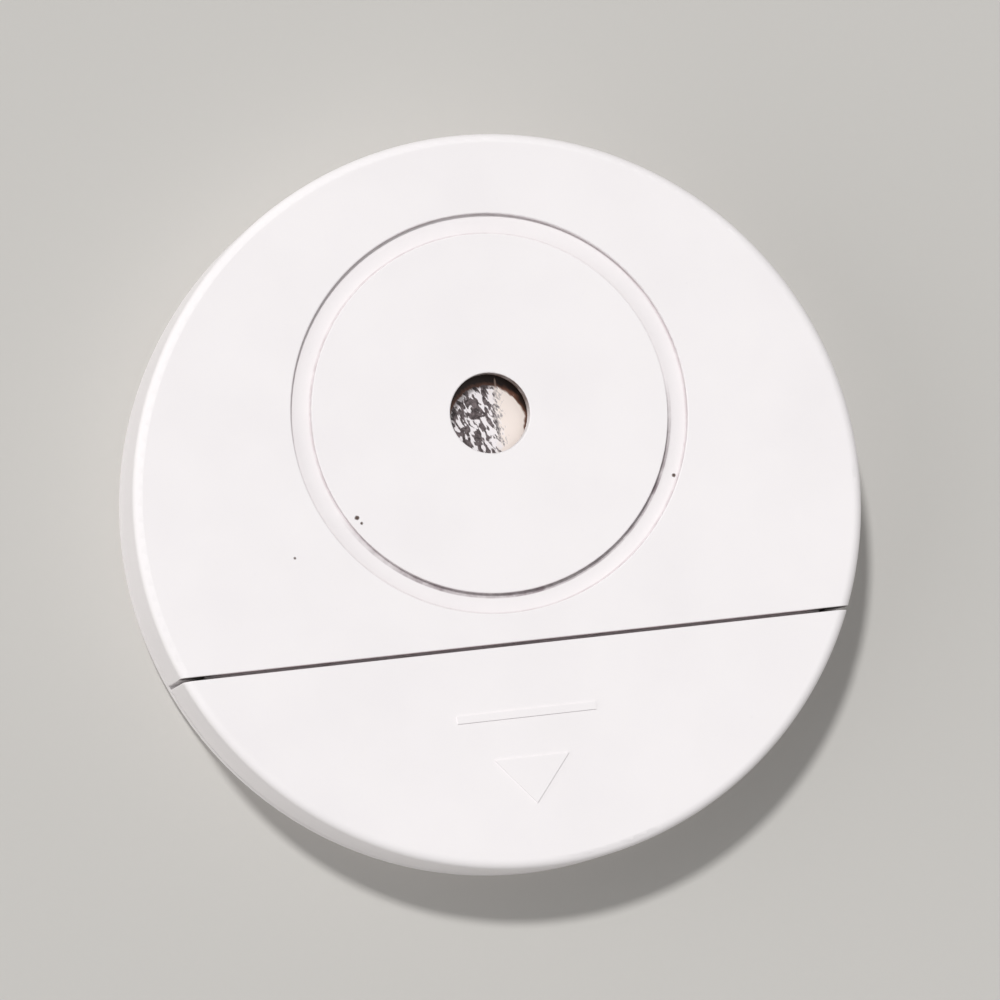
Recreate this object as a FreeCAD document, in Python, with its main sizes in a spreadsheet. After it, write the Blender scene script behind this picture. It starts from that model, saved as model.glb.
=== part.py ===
import FreeCAD, Part
import math
import os
import re
import Sketcher
from FreeCAD import Placement, Rotation, Vector

# A round stick-on glass break sensor, in millimetres. It lies on its back: z = 0 is the glue
# face, the sound hole looks up, the battery door slides off towards -Y and the on/off switch
# is in the wall on the right. The origin is the middle of the glue face.

# Driving sizes
SIZES = {
    # case
    "case_dia": 63.0,
    "case_tall": 10.0,
    "wall": 1.5,
    "face_thick": 1.4,
    "plate_thick": 1.6,
    "rim_round": 0.8,
    "back_bevel": 0.4,
    "parting_gap": 0.12,
    "lip_tall": 1.2,
    "lip_thick": 1.0,
    "lip_gap": 0.15,
    "pad_dia": 44.0,
    "pad_thick": 1.0,
    # sound hole, ring and sounder, all on one axis, which lies this far from the seam
    "sound_off": 19.66,
    "hole_dia": 6.9,
    "hole_round": 0.12,
    "ring_dia": 34.3,
    "ring_wide": 1.73,
    "ring_deep": 0.6,
    "ring_round": 0.1,
    "cavity_deep": 0.8,
    "disc_dia": 27.0,
    "disc_thick": 0.3,
    "ceramic_dia": 20.0,
    "ceramic_thick": 0.25,
    "tape_thick": 0.2,
    "tape_wide": 1.2,
    "seat_gap": 0.2,
    "seat_wall": 1.0,
    "seat_drop": 0.4,
    # battery door
    "seam_gap": 0.3,
    "seam_round": 0.1,
    "door_lift": 0.2,
    "slide_gap": 0.15,
    "tongue_thick": 1.05,
    "tongue_reach": 2.7,
    "tongue_root": 1.1,
    "tongue_short": 0.6,
    "rail_room": 2.0,
    "rail_thick": 1.0,
    "rail_tall": 4.9,
    "rail_long": 5.8,
    "hook_reach": 0.8,
    "hook_thick": 0.8,
    "runner_thick": 0.8,
    "runner_long": 5.0,
    "side_gap": 0.3,
    "stud_dia": 1.2,
    "stud_long": 0.8,
    # raised marks on the door, with their places measured from its straight edge
    "relief": 0.12,
    "bar_long": 12.0,
    "bar_wide": 0.65,
    "bar_off": 5.8,
    "arrow_off": 9.55,
    "arrow_wide": 6.4,
    "arrow_tall": 3.95,
    # battery bay
    "divider_thick": 1.2,
    "divider_short": 0.5,
    "fence_thick": 0.8,
    "fence_tall": 4.4,
    "cell_dia": 11.6,
    "cell_tall": 5.4,
    "cell_ledge": 0.9,
    "cell_cap_tall": 0.5,
    "cell_round": 0.4,
    "cell_gap": 0.3,
    "cell_clear": 0.1,
    "cell_rim_gap": 0.17,
    "cell_lift": 0.3,
    # contacts
    "strip_thick": 0.3,
    "strip_wide": 4.0,
    "strip_clear": 0.2,
    "channel_deep": 0.6,
    "arch_long": 2.0,
    "arch_ramp": 0.8,
    "strip_tail": 2.6,
    "touch_gap": 0.05,
    "leaf_tall": 2.5,
    "leaf_end": 1.2,
    "leaf_run": 4.0,
    "tab_wide": 1.6,
    # circuit board
    "board_raise": 1.0,
    "board_thick": 1.2,
    "board_room": 1.6,
    "board_back": 1.3,
    "notch_gap": 0.6,
    # screws: the case has one at the top, one at this angle up from the switch and one opposite it
    "boss_room": 1.9,
    "side_screw_turn": 20.5,
    "screw_dia": 1.8,
    "screw_long": 5.2,
    "head_dia": 3.8,
    "head_tall": 0.8,
    "head_sunk": 0.1,
    "cross_long": 2.2,
    "cross_wide": 0.5,
    "cross_deep": 0.45,
    "boss_dia": 4.6,
    "pilot_gap": 0.05,
    "pilot_spare": 0.5,
    "hole_gap": 0.2,
    "board_screw_turn": 26.0,
    "low_screw_x": -5.0,
    "board_screw_long": 3.0,
    "pillar_dia": 4.0,
    # switch, at this angle up from the seam's end
    "switch_turn": 14.3,
    "switch_deep": 4.4,
    "switch_long": 8.6,
    "switch_tall": 3.4,
    "switch_skin": 0.7,
    "switch_in": 0.8,
    "switch_gap": 0.15,
    "switch_travel": 2.0,
    "knob_wide": 2.6,
    "knob_tall": 2.2,
    "knob_foot": 4.6,
    "knob_foot_deep": 2.0,
    "knob_under": 0.2,
    "grip_wide": 0.3,
    "grip_deep": 0.2,
    "flat_deep": 0.6,
    "flat_tall": 5.2,
    "mark_tall": 1.5,
    "mark_line": 0.3,
    "mark_deep": 0.2,
    "mark_off": 3.9,
    "pin_wide": 0.5,
    "pin_thick": 0.3,
    "pin_pitch": 2.5,
    "lead_drop": 0.5,
    "lead_gap": 0.2,
    # parts on the board: angles are from the case's screws, and y from the straight edge
    "blob_dia": 9.0,
    "blob_tall": 1.5,
    "blob_x": 3.0,
    "blob_y": 15.2,
    "coil_dia": 6.0,
    "coil_tall": 4.4,
    "coil_neck": 2.6,
    "coil_flange": 0.7,
    "coil_sunk": 0.3,
    "coil_at": 25.0,
    "can_dia": 4.0,
    "can_long": 7.0,
    "can_at": 20.0,
    "sensor_dia": 4.2,
    "sensor_long": 10.0,
    "sensor_at": 22.0,
    "edge_gap": 1.4,
    "lead_dia": 0.5,
    "lead_out": 1.6,
    "can_round": 0.3,
    "chip_long": 3.2,
    "chip_wide": 1.6,
    "resistor_tall": 0.6,
    "capacitor_tall": 1.1,
    "transistor_long": 4.5,
    "transistor_wide": 2.5,
    "transistor_tall": 1.5,
    "transistor_leg": 0.9,
    "leg_wide": 0.5,
    "leg_thick": 0.25,
    "transistor_x": 14.0,
    "transistor_y": 4.2,
    # sounder wires
    "wire_dia": 0.9,
    "wire_gap": 0.1,
    "red_at": 10.0,
    "red_in": 5.5,
    "black_at": 38.0,
    "solder_dia": 2.2,
    "solder_top_dia": 1.1,
    "solder_tall": 0.9,
}

# Heights and radii that several pieces share, from the driving sizes
OUTER = "(case_dia / 2)"
INNER = "(case_dia / 2 - wall)"
FLOOR = "(pad_thick + plate_thick)"
TOP = "(pad_thick + case_tall)"
CEILING = f"({TOP} - face_thick)"
CELL_PITCH = "(cell_dia + cell_gap)"
FENCE_OUT = f"({INNER} - side_gap)"
CELL_REACH = f"({FENCE_OUT} - fence_thick - cell_rim_gap - cell_dia / 2)"
CELL_OFF = f"sqrt({CELL_REACH} ^ 2 - {CELL_PITCH} ^ 2)"
DIVIDER_EDGE = f"({CELL_OFF} - cell_dia / 2 - cell_clear)"
DOOR_EDGE = f"({DIVIDER_EDGE} - divider_thick)"
SEAM = f"({DOOR_EDGE} - seam_gap)"
TONGUE_TOP = f"({CEILING} - slide_gap)"
TONGUE_UNDER = f"({TONGUE_TOP} - tongue_thick)"
BOARD_UNDER = f"({FLOOR} + board_raise)"
BOARD_TOP = f"({BOARD_UNDER} + board_thick)"
SOUND_Y = f"(sound_off - {SEAM})"
BOARD_EDGE = f"({DOOR_EDGE} - board_back)"
BOARD_RADIUS = f"({INNER} - board_room)"
CELL_UNDER = f"({FLOOR} + cell_lift)"
CELL_TOP = f"({CELL_UNDER} + cell_tall)"
CHANNEL = f"({FLOOR} - channel_deep)"
RAIL_IN = f"({CELL_PITCH} + cell_dia / 2 + rail_room)"
RAIL_OUT = f"({RAIL_IN} + rail_thick)"
RAIL_TOP = f"({FLOOR} + rail_tall)"
HOOK_OUT = f"({RAIL_OUT} + hook_reach)"
RUNNER_IN = f"({HOOK_OUT} + side_gap)"
RUNNER_FRONT = f"({DIVIDER_EDGE} + side_gap)"
RUNNER_FOOT = f"({RAIL_TOP} - hook_thick - side_gap)"
LEDGE = f"({CEILING} - cavity_deep)"
DISC_FRONT = f"({LEDGE} - tape_thick)"
DISC_BACK = f"({DISC_FRONT} - disc_thick)"
CERAMIC_BACK = f"({DISC_BACK} - ceramic_thick)"
SEAT_IN = "(disc_dia / 2 + seat_gap)"
SEAT_OUT = f"({SEAT_IN} + seat_wall)"
SWITCH_FACE = f"({INNER} - switch_in)"
SWITCH_BACK = f"({SWITCH_FACE} - switch_deep)"
KNOB_MID = f"({BOARD_TOP} + switch_tall / 2)"
FLAT_FACE = f"({OUTER} - flat_deep)"
TAB_OFF = f"({BOARD_EDGE} - tab_wide)"
LEAF_LINE = f"({RAIL_IN} - strip_clear - strip_thick)"
PIN_LINE = f"({SWITCH_BACK} + switch_deep / 3)"
SWITCH_AT = f"(switch_turn - asin({SEAM} / {OUTER}) / 1deg)"
SCREW_AT = f"({SWITCH_AT} + side_screw_turn)"
BOSS_RING = f"({INNER} - boss_dia / 2 - boss_room)"
HOUSING_SCREWS = [("0", BOSS_RING)] + [
    (f"{side}{BOSS_RING} * cos({SCREW_AT})", f"{BOSS_RING} * sin({SCREW_AT})") for side in ("", "-")
]
BOARD_RING = f"({BOARD_RADIUS} - head_dia / 2 - edge_gap)"
BOARD_SCREWS = (
    (f"{BOARD_RING} * sin(board_screw_turn)", f"{BOARD_RING} * cos(board_screw_turn)"),
    (f"-{BOARD_RING} * sin(board_screw_turn)", f"{BOARD_RING} * cos(board_screw_turn)"),
    ("low_screw_x", f"-({BOARD_EDGE} - head_dia / 2 - edge_gap)"),
)
# The studs that hold the door's link, between its two arches
STUDS = [(f"-{CELL_PITCH} / 2 {side} stud_dia", f"-{CELL_OFF}") for side in "+-"]

# Chip parts on the board: name, place across, distance from the straight edge, and height
CHIPS = (
    ("resistor_1", -14.5, 5.0, "resistor_tall"),
    ("resistor_2", -14.5, 8.6, "resistor_tall"),
    ("resistor_3", -9.0, 12.2, "resistor_tall"),
    ("ceramic_capacitor_1", 6.5, 5.6, "capacitor_tall"),
    ("ceramic_capacitor_2", 14.5, 12.7, "capacitor_tall"),
)

# The chip's blob of resin: how far its edge has drawn in, at a share of its height
BLOB_STEPS = ((0.2, 0.5), (0.9, 0.88))

SAME = 1e-4  # sizes closer than this are taken as equal
TUBE_SLACK = 0.01  # how far a tube's volume may be from its path's length times its section
BEND_SHARE = 0.45  # how much of the shorter run beside it a wire's bend may take
DIP_SHARE = 0.35  # how far out from the sounder's seat a wire starts to climb, of its way there
TIP_SHARE = 0.3  # a screw tip's end against its shank
GRIP_PITCH = 2.4  # pitch of the knob's grips against their width

doc = FreeCAD.newDocument("GlassBreakSensor")
sheet = doc.addObject("Spreadsheet::Sheet", "Dims")
for row, (size_name, size_value) in enumerate(SIZES.items(), 1):
    sheet.set(f"A{row}", size_name)
    sheet.set(f"B{row}", str(size_value))
    sheet.setAlias(f"B{row}", size_name)
doc.recompute()


def linked(text):
    """The expression with each size's name led by the sheet's."""
    return re.sub(r"[a-z][a-z_]*", lambda word: f"Dims.{word[0]}" if word[0] in SIZES else word[0], text)


def number(text):
    return float(sheet.evalExpression(linked(text)))


def bind(made, **expressions):
    """Binds properties to expressions; two underscores stand for a point in a name."""
    for name, text in expressions.items():
        made.setExpression(name.replace("__", "."), linked(text))


def fix(sketch, kind, *target, size):
    """Adds one dimension to a sketch and binds it to an expression."""
    index = sketch.addConstraint(Sketcher.Constraint(kind, *target, number(size)))
    sketch.renameConstraint(index, f"size{index}")
    sketch.setExpression(f"Constraints.size{index}", linked(size))


def new_body(label):
    body = doc.addObject("PartDesign::Body", label)
    body.Label = label
    return body


def place(made, x="0", y="0", z="0", turn="0"):
    made.Placement = Placement(Vector(0, 0, 0), Rotation(Vector(0, 0, 1), number(turn)))
    bind(made, Placement__Base__x=x, Placement__Base__y=y, Placement__Base__z=z)
    bind(made, Placement__Rotation__Angle=turn)


def sketch_on(body, name, role, away="0", turn="0", across="0"):
    """A sketch on an origin plane, moved off it, turned in it and moved along its first axis."""
    sketch = body.newObject("Sketcher::SketchObject", name)
    plane = next(part for part in body.Origin.OriginFeatures if part.Role == role)
    sketch.AttachmentSupport = [(plane, "")]
    sketch.MapMode = "FlatFace"
    sketch.AttachmentOffset = Placement(Vector(0, 0, 0), Rotation(Vector(0, 0, 1), number(turn)))
    bind(sketch, AttachmentOffset__Base__z=away, AttachmentOffset__Base__x=across)
    bind(sketch, AttachmentOffset__Rotation__Angle=turn)
    return sketch


def circle(sketch, x, y, radius):
    made = sketch.addGeometry(Part.Circle(Vector(number(x), number(y), 0), Vector(0, 0, 1), number(radius)))
    fix(sketch, "Radius", made, size=radius)
    fix(sketch, "DistanceX", -1, 1, made, 3, size=x)
    fix(sketch, "DistanceY", -1, 1, made, 3, size=y)


def polygon(sketch, corners):
    """A closed outline of straight lines through corners given as expressions."""
    spots = [Vector(number(x), number(y), 0) for x, y in corners]
    first = sketch.GeometryCount
    count = len(spots)
    for index in range(count):
        sketch.addGeometry(Part.LineSegment(spots[index], spots[(index + 1) % count]))
    for index in range(count):
        after = first + (index + 1) % count
        sketch.addConstraint(Sketcher.Constraint("Coincident", first + index, 2, after, 1))
    for index, (x, y) in enumerate(corners):
        fix(sketch, "DistanceX", -1, 1, first + index, 1, size=x)
        fix(sketch, "DistanceY", -1, 1, first + index, 1, size=y)


def rectangle(sketch, x_from, x_to, y_from, y_to):
    polygon(sketch, [(x_from, y_from), (x_to, y_from), (x_to, y_to), (x_from, y_to)])


def arc_band(sketch, inner, outer, limit, cut_on):
    """A band between two circles about the origin: below the X axis and within plus and minus
    limit where cut_on is x, or the whole of the band above y = limit where it is y."""
    inner_size, outer_size, reach = number(inner), number(outer), number(limit)
    along = math.acos if cut_on == "x" else math.asin
    if cut_on == "x":
        spans = [(-along(-reach / size), -along(reach / size)) for size in (outer_size, inner_size)]
    else:
        spans = [(along(reach / size), math.pi - along(reach / size)) for size in (outer_size, inner_size)]
    arcs = []
    for size, (start, end) in zip((outer_size, inner_size), spans):
        ring = Part.Circle(Vector(0, 0, 0), Vector(0, 0, 1), size)
        arcs.append(sketch.addGeometry(Part.ArcOfCircle(ring, start, end)))
    ends = []
    for end, (start_mark, sign) in enumerate(((1, 0), (2, 1))):
        spots = [Vector(size * math.cos(span[sign]), size * math.sin(span[sign]), 0)
                 for size, span in zip((outer_size, inner_size), spans)]
        line = sketch.addGeometry(Part.LineSegment(*spots))
        sketch.addConstraint(Sketcher.Constraint("Coincident", line, 1, arcs[0], start_mark))
        sketch.addConstraint(Sketcher.Constraint("Coincident", line, 2, arcs[1], start_mark))
        ends.append(line)
    for made, radius in zip(arcs, (outer, inner)):
        sketch.addConstraint(Sketcher.Constraint("Coincident", made, 3, -1, 1))
        fix(sketch, "Radius", made, size=radius)
    for line, sign in zip(ends, ("-", "")):
        if cut_on == "x":
            sketch.addConstraint(Sketcher.Constraint("Vertical", line))
            fix(sketch, "DistanceX", -1, 1, line, 1, size=f"{sign}({limit})")
        else:
            sketch.addConstraint(Sketcher.Constraint("Horizontal", line))
            fix(sketch, "DistanceY", -1, 1, line, 1, size=limit)


def add_feature(body, kind, sketch, name, length):
    made = body.newObject(f"PartDesign::{kind}", name)
    made.Profile = sketch
    bind(made, Length=length)
    return made


def pad(body, sketch, name, length, midplane=False):
    made = add_feature(body, "Pad", sketch, name, length)
    if midplane:
        made.SideType = "Symmetric"
    doc.recompute()
    return made


def pocket(body, sketch, name, length, midplane=False):
    """Cuts from the sketch's plane the way its normal points, and checks that it cut."""
    before = body.Shape.Volume
    made = add_feature(body, "Pocket", sketch, name, length)
    made.Reversed = True
    if midplane:
        made.SideType = "Symmetric"
    doc.recompute()
    if body.Shape.Volume > before - SAME:
        raise ValueError(f"{body.Label}: {name} cut nothing")
    return made


def turned(body, kind, sketch, name):
    """A revolution or groove about the sketch's upright axis."""
    made = body.newObject(f"PartDesign::{kind}", name)
    made.Profile = sketch
    made.ReferenceAxis = (sketch, ["V_Axis"])
    made.Angle = 360
    doc.recompute()
    return made


def round_edges(body, kind, name, wanted, size, way="Radius"):
    """A fillet or chamfer on the edges of the body that wanted picks."""
    base = body.Tip
    edges = [f"Edge{index}" for index, edge in enumerate(base.Shape.Edges, 1) if wanted(edge)]
    made = body.newObject(f"PartDesign::{kind}", name)
    made.Base = (base, edges)
    bind(made, **{way: size})
    doc.recompute()
    return made


def is_seam(edge, y):
    """Whether an edge is straight and lies level on the face, along this y."""
    box, top = edge.BoundBox, number(TOP)
    return max(abs(box.YMin - number(y)), abs(box.YMax - number(y)), top - box.ZMin) < SAME


def is_ring(edge, radius, height):
    """Whether an edge is a circle of this radius that lies level at this height."""
    level = abs(edge.BoundBox.ZMin - number(height)) < SAME and edge.BoundBox.ZLength < SAME
    return level and hasattr(edge.Curve, "Radius") and abs(edge.Curve.Radius - number(radius)) < SAME


def disc(body, name, radius, low, high):
    sketch = sketch_on(body, f"{name}_outline", "XY_Plane", low)
    circle(sketch, "0", "0", radius)
    return pad(body, sketch, name, f"{high} - {low}")


def block(body, name, x_from, x_to, y_from, y_to, low, high, turn="0", cut=False):
    """A box-shaped pad or cut between two heights."""
    sketch = sketch_on(body, f"{name}_outline", "XY_Plane", low, turn)
    rectangle(sketch, x_from, x_to, y_from, y_to)
    return (pocket if cut else pad)(body, sketch, name, f"{high} - {low}")


def round_holes(body, name, spots, radius, low, high, cut=True):
    """Holes, or round bosses, at several spots between two heights."""
    sketch = sketch_on(body, f"{name}_outline", "XY_Plane", low)
    for x, y in spots:
        circle(sketch, x, y, radius)
    return (pocket if cut else pad)(body, sketch, name, f"{high} - {low}")


# Case
def shell(body, low):
    """The round cup that the cover and the door are both parts of."""
    disc(body, "cup", OUTER, low, TOP)
    round_edges(body, "Fillet", "rim", lambda edge: is_ring(edge, OUTER, TOP), "rim_round")
    hollow = sketch_on(body, "hollow_outline", "XY_Plane", low)
    circle(hollow, "0", "0", INNER)
    pocket(body, hollow, "hollow", f"{CEILING} - {low}")


def front_cover():
    body = new_body("front_cover")
    low = f"({FLOOR} + parting_gap)"
    shell(body, low)
    block(body, "door_opening", f"-{OUTER} - wall", f"{OUTER} + wall", f"-{OUTER} - wall", f"-{SEAM}",
          low, TOP, cut=True)
    round_edges(body, "Fillet", "seam_edge", lambda edge: is_seam(edge, f"-{SEAM}"), "seam_round")
    seat = sketch_on(body, "sounder_seat_profile", "YZ_Plane", across=SOUND_Y)
    polygon(seat, [
        (f"{SEAT_IN} - tape_wide - seat_gap", CEILING),
        (f"{SEAT_IN} - tape_wide - seat_gap", LEDGE),
        (SEAT_IN, LEDGE),
        (SEAT_IN, f"{DISC_BACK} - seat_drop"),
        (SEAT_OUT, f"{DISC_BACK} - seat_drop"),
        (SEAT_OUT, CEILING),
    ])
    turned(body, "Revolution", seat, "sounder_seat")
    ring = sketch_on(body, "ring_profile", "YZ_Plane", across=SOUND_Y)
    rectangle(ring, "ring_dia / 2 - ring_wide", "ring_dia / 2", f"{TOP} - ring_deep", TOP)
    turned(body, "Groove", ring, "ring")
    round_edges(body, "Fillet", "ring_edges", lambda edge: is_ring(edge, "ring_dia / 2", TOP)
                or is_ring(edge, "ring_dia / 2 - ring_wide", TOP), "ring_round")
    round_holes(body, "sound_hole", [("0", SOUND_Y)], "hole_dia / 2", CEILING, TOP)
    round_edges(body, "Fillet", "hole_edge", lambda edge: is_ring(edge, "hole_dia / 2", TOP), "hole_round")
    round_holes(body, "bosses", HOUSING_SCREWS, "boss_dia / 2", FLOOR, CEILING, cut=False)
    pilot_end = "(pad_thick + head_sunk + head_tall + screw_long + pilot_spare)"
    round_holes(body, "pilots", HOUSING_SCREWS, "screw_dia / 2 + pilot_gap", FLOOR, pilot_end)
    switch_window(body)
    return body


def switch_window(body):
    """The flat in the wall where the switch is worked, its slot and the off and on marks."""
    block(body, "switch_flat", FLAT_FACE, f"{OUTER} + wall", f"-{OUTER} / 2", f"{OUTER} / 2",
          f"({KNOB_MID} - flat_tall / 2)", f"({KNOB_MID} + flat_tall / 2)", SWITCH_AT, cut=True)
    half_wide = "((knob_wide + switch_travel) / 2 + side_gap)"
    half_tall = "(knob_tall / 2 + side_gap)"
    block(body, "switch_slot", f"{INNER} - wall", f"{OUTER} + wall", f"-{half_wide}", half_wide,
          f"({KNOB_MID} - {half_tall})", f"({KNOB_MID} + {half_tall})", SWITCH_AT, cut=True)
    block(body, "on_mark", f"{FLAT_FACE} - mark_deep", FLAT_FACE, "mark_off - mark_line / 2",
          "mark_off + mark_line / 2", f"({KNOB_MID} - mark_tall / 2)", f"({KNOB_MID} + mark_tall / 2)",
          SWITCH_AT, cut=True)
    for name, side in (("low", "-"), ("high", "")):
        block(body, f"off_mark_{name}", f"{FLAT_FACE} - mark_deep", FLAT_FACE, "-mark_off - mark_tall / 2",
              "-mark_off + mark_tall / 2", f"({KNOB_MID} {side or '+'} mark_tall / 2 - mark_line / 2)",
              f"({KNOB_MID} {side or '+'} mark_tall / 2 + mark_line / 2)", SWITCH_AT, cut=True)
        block(body, f"off_mark_side_{name}", f"{FLAT_FACE} - mark_deep", FLAT_FACE,
              f"-mark_off + {side}mark_tall / 2 - mark_line / 2",
              f"-mark_off + {side}mark_tall / 2 + mark_line / 2",
              f"({KNOB_MID} - mark_tall / 2)", f"({KNOB_MID} + mark_tall / 2)", SWITCH_AT, cut=True)


def rear_housing():
    body = new_body("rear_housing")
    disc(body, "plate", OUTER, "pad_thick", FLOOR)
    round_edges(body, "Chamfer", "back_edge", lambda edge: is_ring(edge, OUTER, "pad_thick"),
                "back_bevel", "Size")
    reach = "(strip_wide / 2 + strip_clear)"
    tail = "(arch_long / 2 + arch_ramp + strip_tail + strip_clear)"
    block(body, "minus_channel", f"-{CELL_PITCH} - {reach}", f"-{CELL_PITCH} + {reach}",
          f"-{CELL_OFF} - {tail}", f"-{TAB_OFF} + tab_wide", CHANNEL, FLOOR, cut=True)
    block(body, "link_channel", f"-{tail}", f"{CELL_PITCH} + {tail}", f"-{CELL_OFF} - {reach}",
          f"-{CELL_OFF} + {reach}", CHANNEL, FLOOR, cut=True)

    lip = sketch_on(body, "lip_outline", "XY_Plane", FLOOR)
    arc_band(lip, f"{INNER} - lip_gap - lip_thick", f"{INNER} - lip_gap", f"-{SEAM} + seam_gap", "y")
    pad(body, lip, "lip", "lip_tall")
    fence = sketch_on(body, "fence_outline", "XY_Plane", FLOOR)
    arc_band(fence, f"{FENCE_OUT} - fence_thick", FENCE_OUT, RAIL_OUT, "x")
    pad(body, fence, "fence", "fence_tall")

    divider_half = f"(sqrt({INNER} ^ 2 - {DIVIDER_EDGE} ^ 2) - divider_short)"
    block(body, "divider", f"-{divider_half}", divider_half, f"-{DIVIDER_EDGE}", f"-{DOOR_EDGE}",
          FLOOR, f"({TONGUE_UNDER} - slide_gap)")
    for side, sign in (("left", "-"), ("right", "")):
        block(body, f"rail_{side}", f"{sign}{RAIL_IN}", f"{sign}{RAIL_OUT}",
              f"-{DIVIDER_EDGE} - rail_long", f"-{DIVIDER_EDGE}", FLOOR, RAIL_TOP)
        block(body, f"rail_hook_{side}", f"{sign}{RAIL_IN}", f"{sign}{HOOK_OUT}",
              f"-{DIVIDER_EDGE} - rail_long", f"-{DIVIDER_EDGE}", f"({RAIL_TOP} - hook_thick)", RAIL_TOP)
    block(body, "leaf_notch", f"{LEAF_LINE} - strip_thick / 2 - strip_clear",
          f"{LEAF_LINE} + strip_thick / 2 + strip_clear", f"-{DIVIDER_EDGE}", f"-{DOOR_EDGE}",
          f"({BOARD_TOP} - strip_clear)", f"({TONGUE_UNDER} - slide_gap)", cut=True)

    round_holes(body, "pillars", BOARD_SCREWS, "pillar_dia / 2", FLOOR, BOARD_UNDER, cut=False)
    pilot_start = f"({BOARD_TOP} - board_screw_long - pilot_gap)"
    round_holes(body, "pillar_pilots", BOARD_SCREWS, "screw_dia / 2 + pilot_gap", pilot_start, BOARD_UNDER)
    round_holes(body, "screw_holes", HOUSING_SCREWS, "screw_dia / 2 + hole_gap", "pad_thick", FLOOR)
    round_holes(body, "head_holes", HOUSING_SCREWS, "head_dia / 2 + hole_gap", "pad_thick",
                "(pad_thick + head_sunk + head_tall)")
    return body


def battery_door():
    body = new_body("battery_door")
    low = f"({FLOOR} + door_lift)"
    shell(body, low)
    block(body, "cover_side", f"-{OUTER} - wall", f"{OUTER} + wall", f"-{DOOR_EDGE}", f"{OUTER} + wall",
          low, TOP, cut=True)
    round_edges(body, "Fillet", "seam_edge", lambda edge: is_seam(edge, f"-{DOOR_EDGE}"), "seam_round")
    root = f"({DOOR_EDGE} + tongue_root)"
    half = f"(sqrt({INNER} ^ 2 - {DOOR_EDGE} ^ 2) - tongue_short)"
    block(body, "tongue_root", f"-{half}", half, f"-{root}", f"-{DOOR_EDGE}", TONGUE_UNDER, CEILING)
    block(body, "tongue", f"-{half}", half, f"-{root}", f"-{SEAM} + tongue_reach", TONGUE_UNDER, TONGUE_TOP)
    for side, sign in (("left", "-"), ("right", "")):
        block(body, f"runner_{side}", f"{sign}{RUNNER_IN}", f"{sign}({RUNNER_IN} + runner_thick)",
              f"-{RUNNER_FRONT} - runner_long", f"-{RUNNER_FRONT}", f"({RUNNER_FOOT} - hook_thick)", CEILING)
        block(body, f"runner_foot_{side}", f"{sign}({RUNNER_IN} - hook_reach)", f"{sign}{RUNNER_IN}",
              f"-{RUNNER_FRONT} - runner_long", f"-{RUNNER_FRONT}", f"({RUNNER_FOOT} - hook_thick)",
              RUNNER_FOOT)
    round_holes(body, "studs", STUDS, "stud_dia / 2", f"({CEILING} - stud_long)", CEILING, cut=False)
    bar, base = f"(-{DOOR_EDGE} - bar_off)", f"(-{DOOR_EDGE} - arrow_off)"
    block(body, "bar", "-bar_long / 2", "bar_long / 2", f"{bar} - bar_wide / 2", f"{bar} + bar_wide / 2",
          TOP, f"({TOP} + relief)")
    arrow = sketch_on(body, "arrow_outline", "XY_Plane", TOP)
    polygon(arrow, [("-arrow_wide / 2", base), ("0", f"{base} - arrow_tall"), ("arrow_wide / 2", base)])
    pad(body, arrow, "arrow", "relief")
    return body


def adhesive_pad():
    body = new_body("adhesive_pad")
    disc(body, "foam", "(pad_dia / 2)", "0", "pad_thick")
    return body


# Sounder: a thin metal disc with a ceramic disc on its back, held on a ledge by a tape ring
def flat_ring(label, radius, low, high, bore=None):
    body = new_body(label)
    sketch = sketch_on(body, "outline", "XY_Plane", low)
    circle(sketch, "0", SOUND_Y, radius)
    if bore:
        circle(sketch, "0", SOUND_Y, bore)
    pad(body, sketch, "sheet", f"{high} - {low}")
    return body


def sounder():
    return [
        flat_ring("sounder_disc", "disc_dia / 2", DISC_BACK, DISC_FRONT),
        flat_ring("sounder_ceramic", "ceramic_dia / 2", CERAMIC_BACK, DISC_BACK),
        flat_ring("sounder_tape_ring", "disc_dia / 2 - seat_gap", DISC_FRONT, LEDGE,
                  "disc_dia / 2 - tape_wide"),
    ]


# Cells
def button_cell(label, x, cap_down):
    body = new_body(label)
    profile = sketch_on(body, "profile", "XZ_Plane")
    polygon(profile, [
        ("0", "0"),
        ("cell_dia / 2 - cell_ledge", "0"),
        ("cell_dia / 2 - cell_ledge", "cell_cap_tall"),
        ("cell_dia / 2", "cell_cap_tall"),
        ("cell_dia / 2", "cell_tall"),
        ("0", "cell_tall"),
    ])
    turned(body, "Revolution", profile, "can")
    round_edges(body, "Fillet", "can_edge", lambda edge: is_ring(edge, "cell_dia / 2", "cell_tall")
                or is_ring(edge, "cell_dia / 2", "cell_cap_tall"), "cell_round")
    place(body, x, f"-{CELL_OFF}", CELL_UNDER if cap_down else CELL_TOP)
    if not cap_down:
        bind(body, Placement__Rotation__Angle="180")
        body.Placement = Placement(body.Placement.Base, Rotation(Vector(1, 0, 0), 180))
    return body


def cells():
    return [
        button_cell("cell_1", f"-{CELL_PITCH}", True),
        button_cell("cell_2", "0", False),
        button_cell("cell_3", CELL_PITCH, True),
    ]


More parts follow.
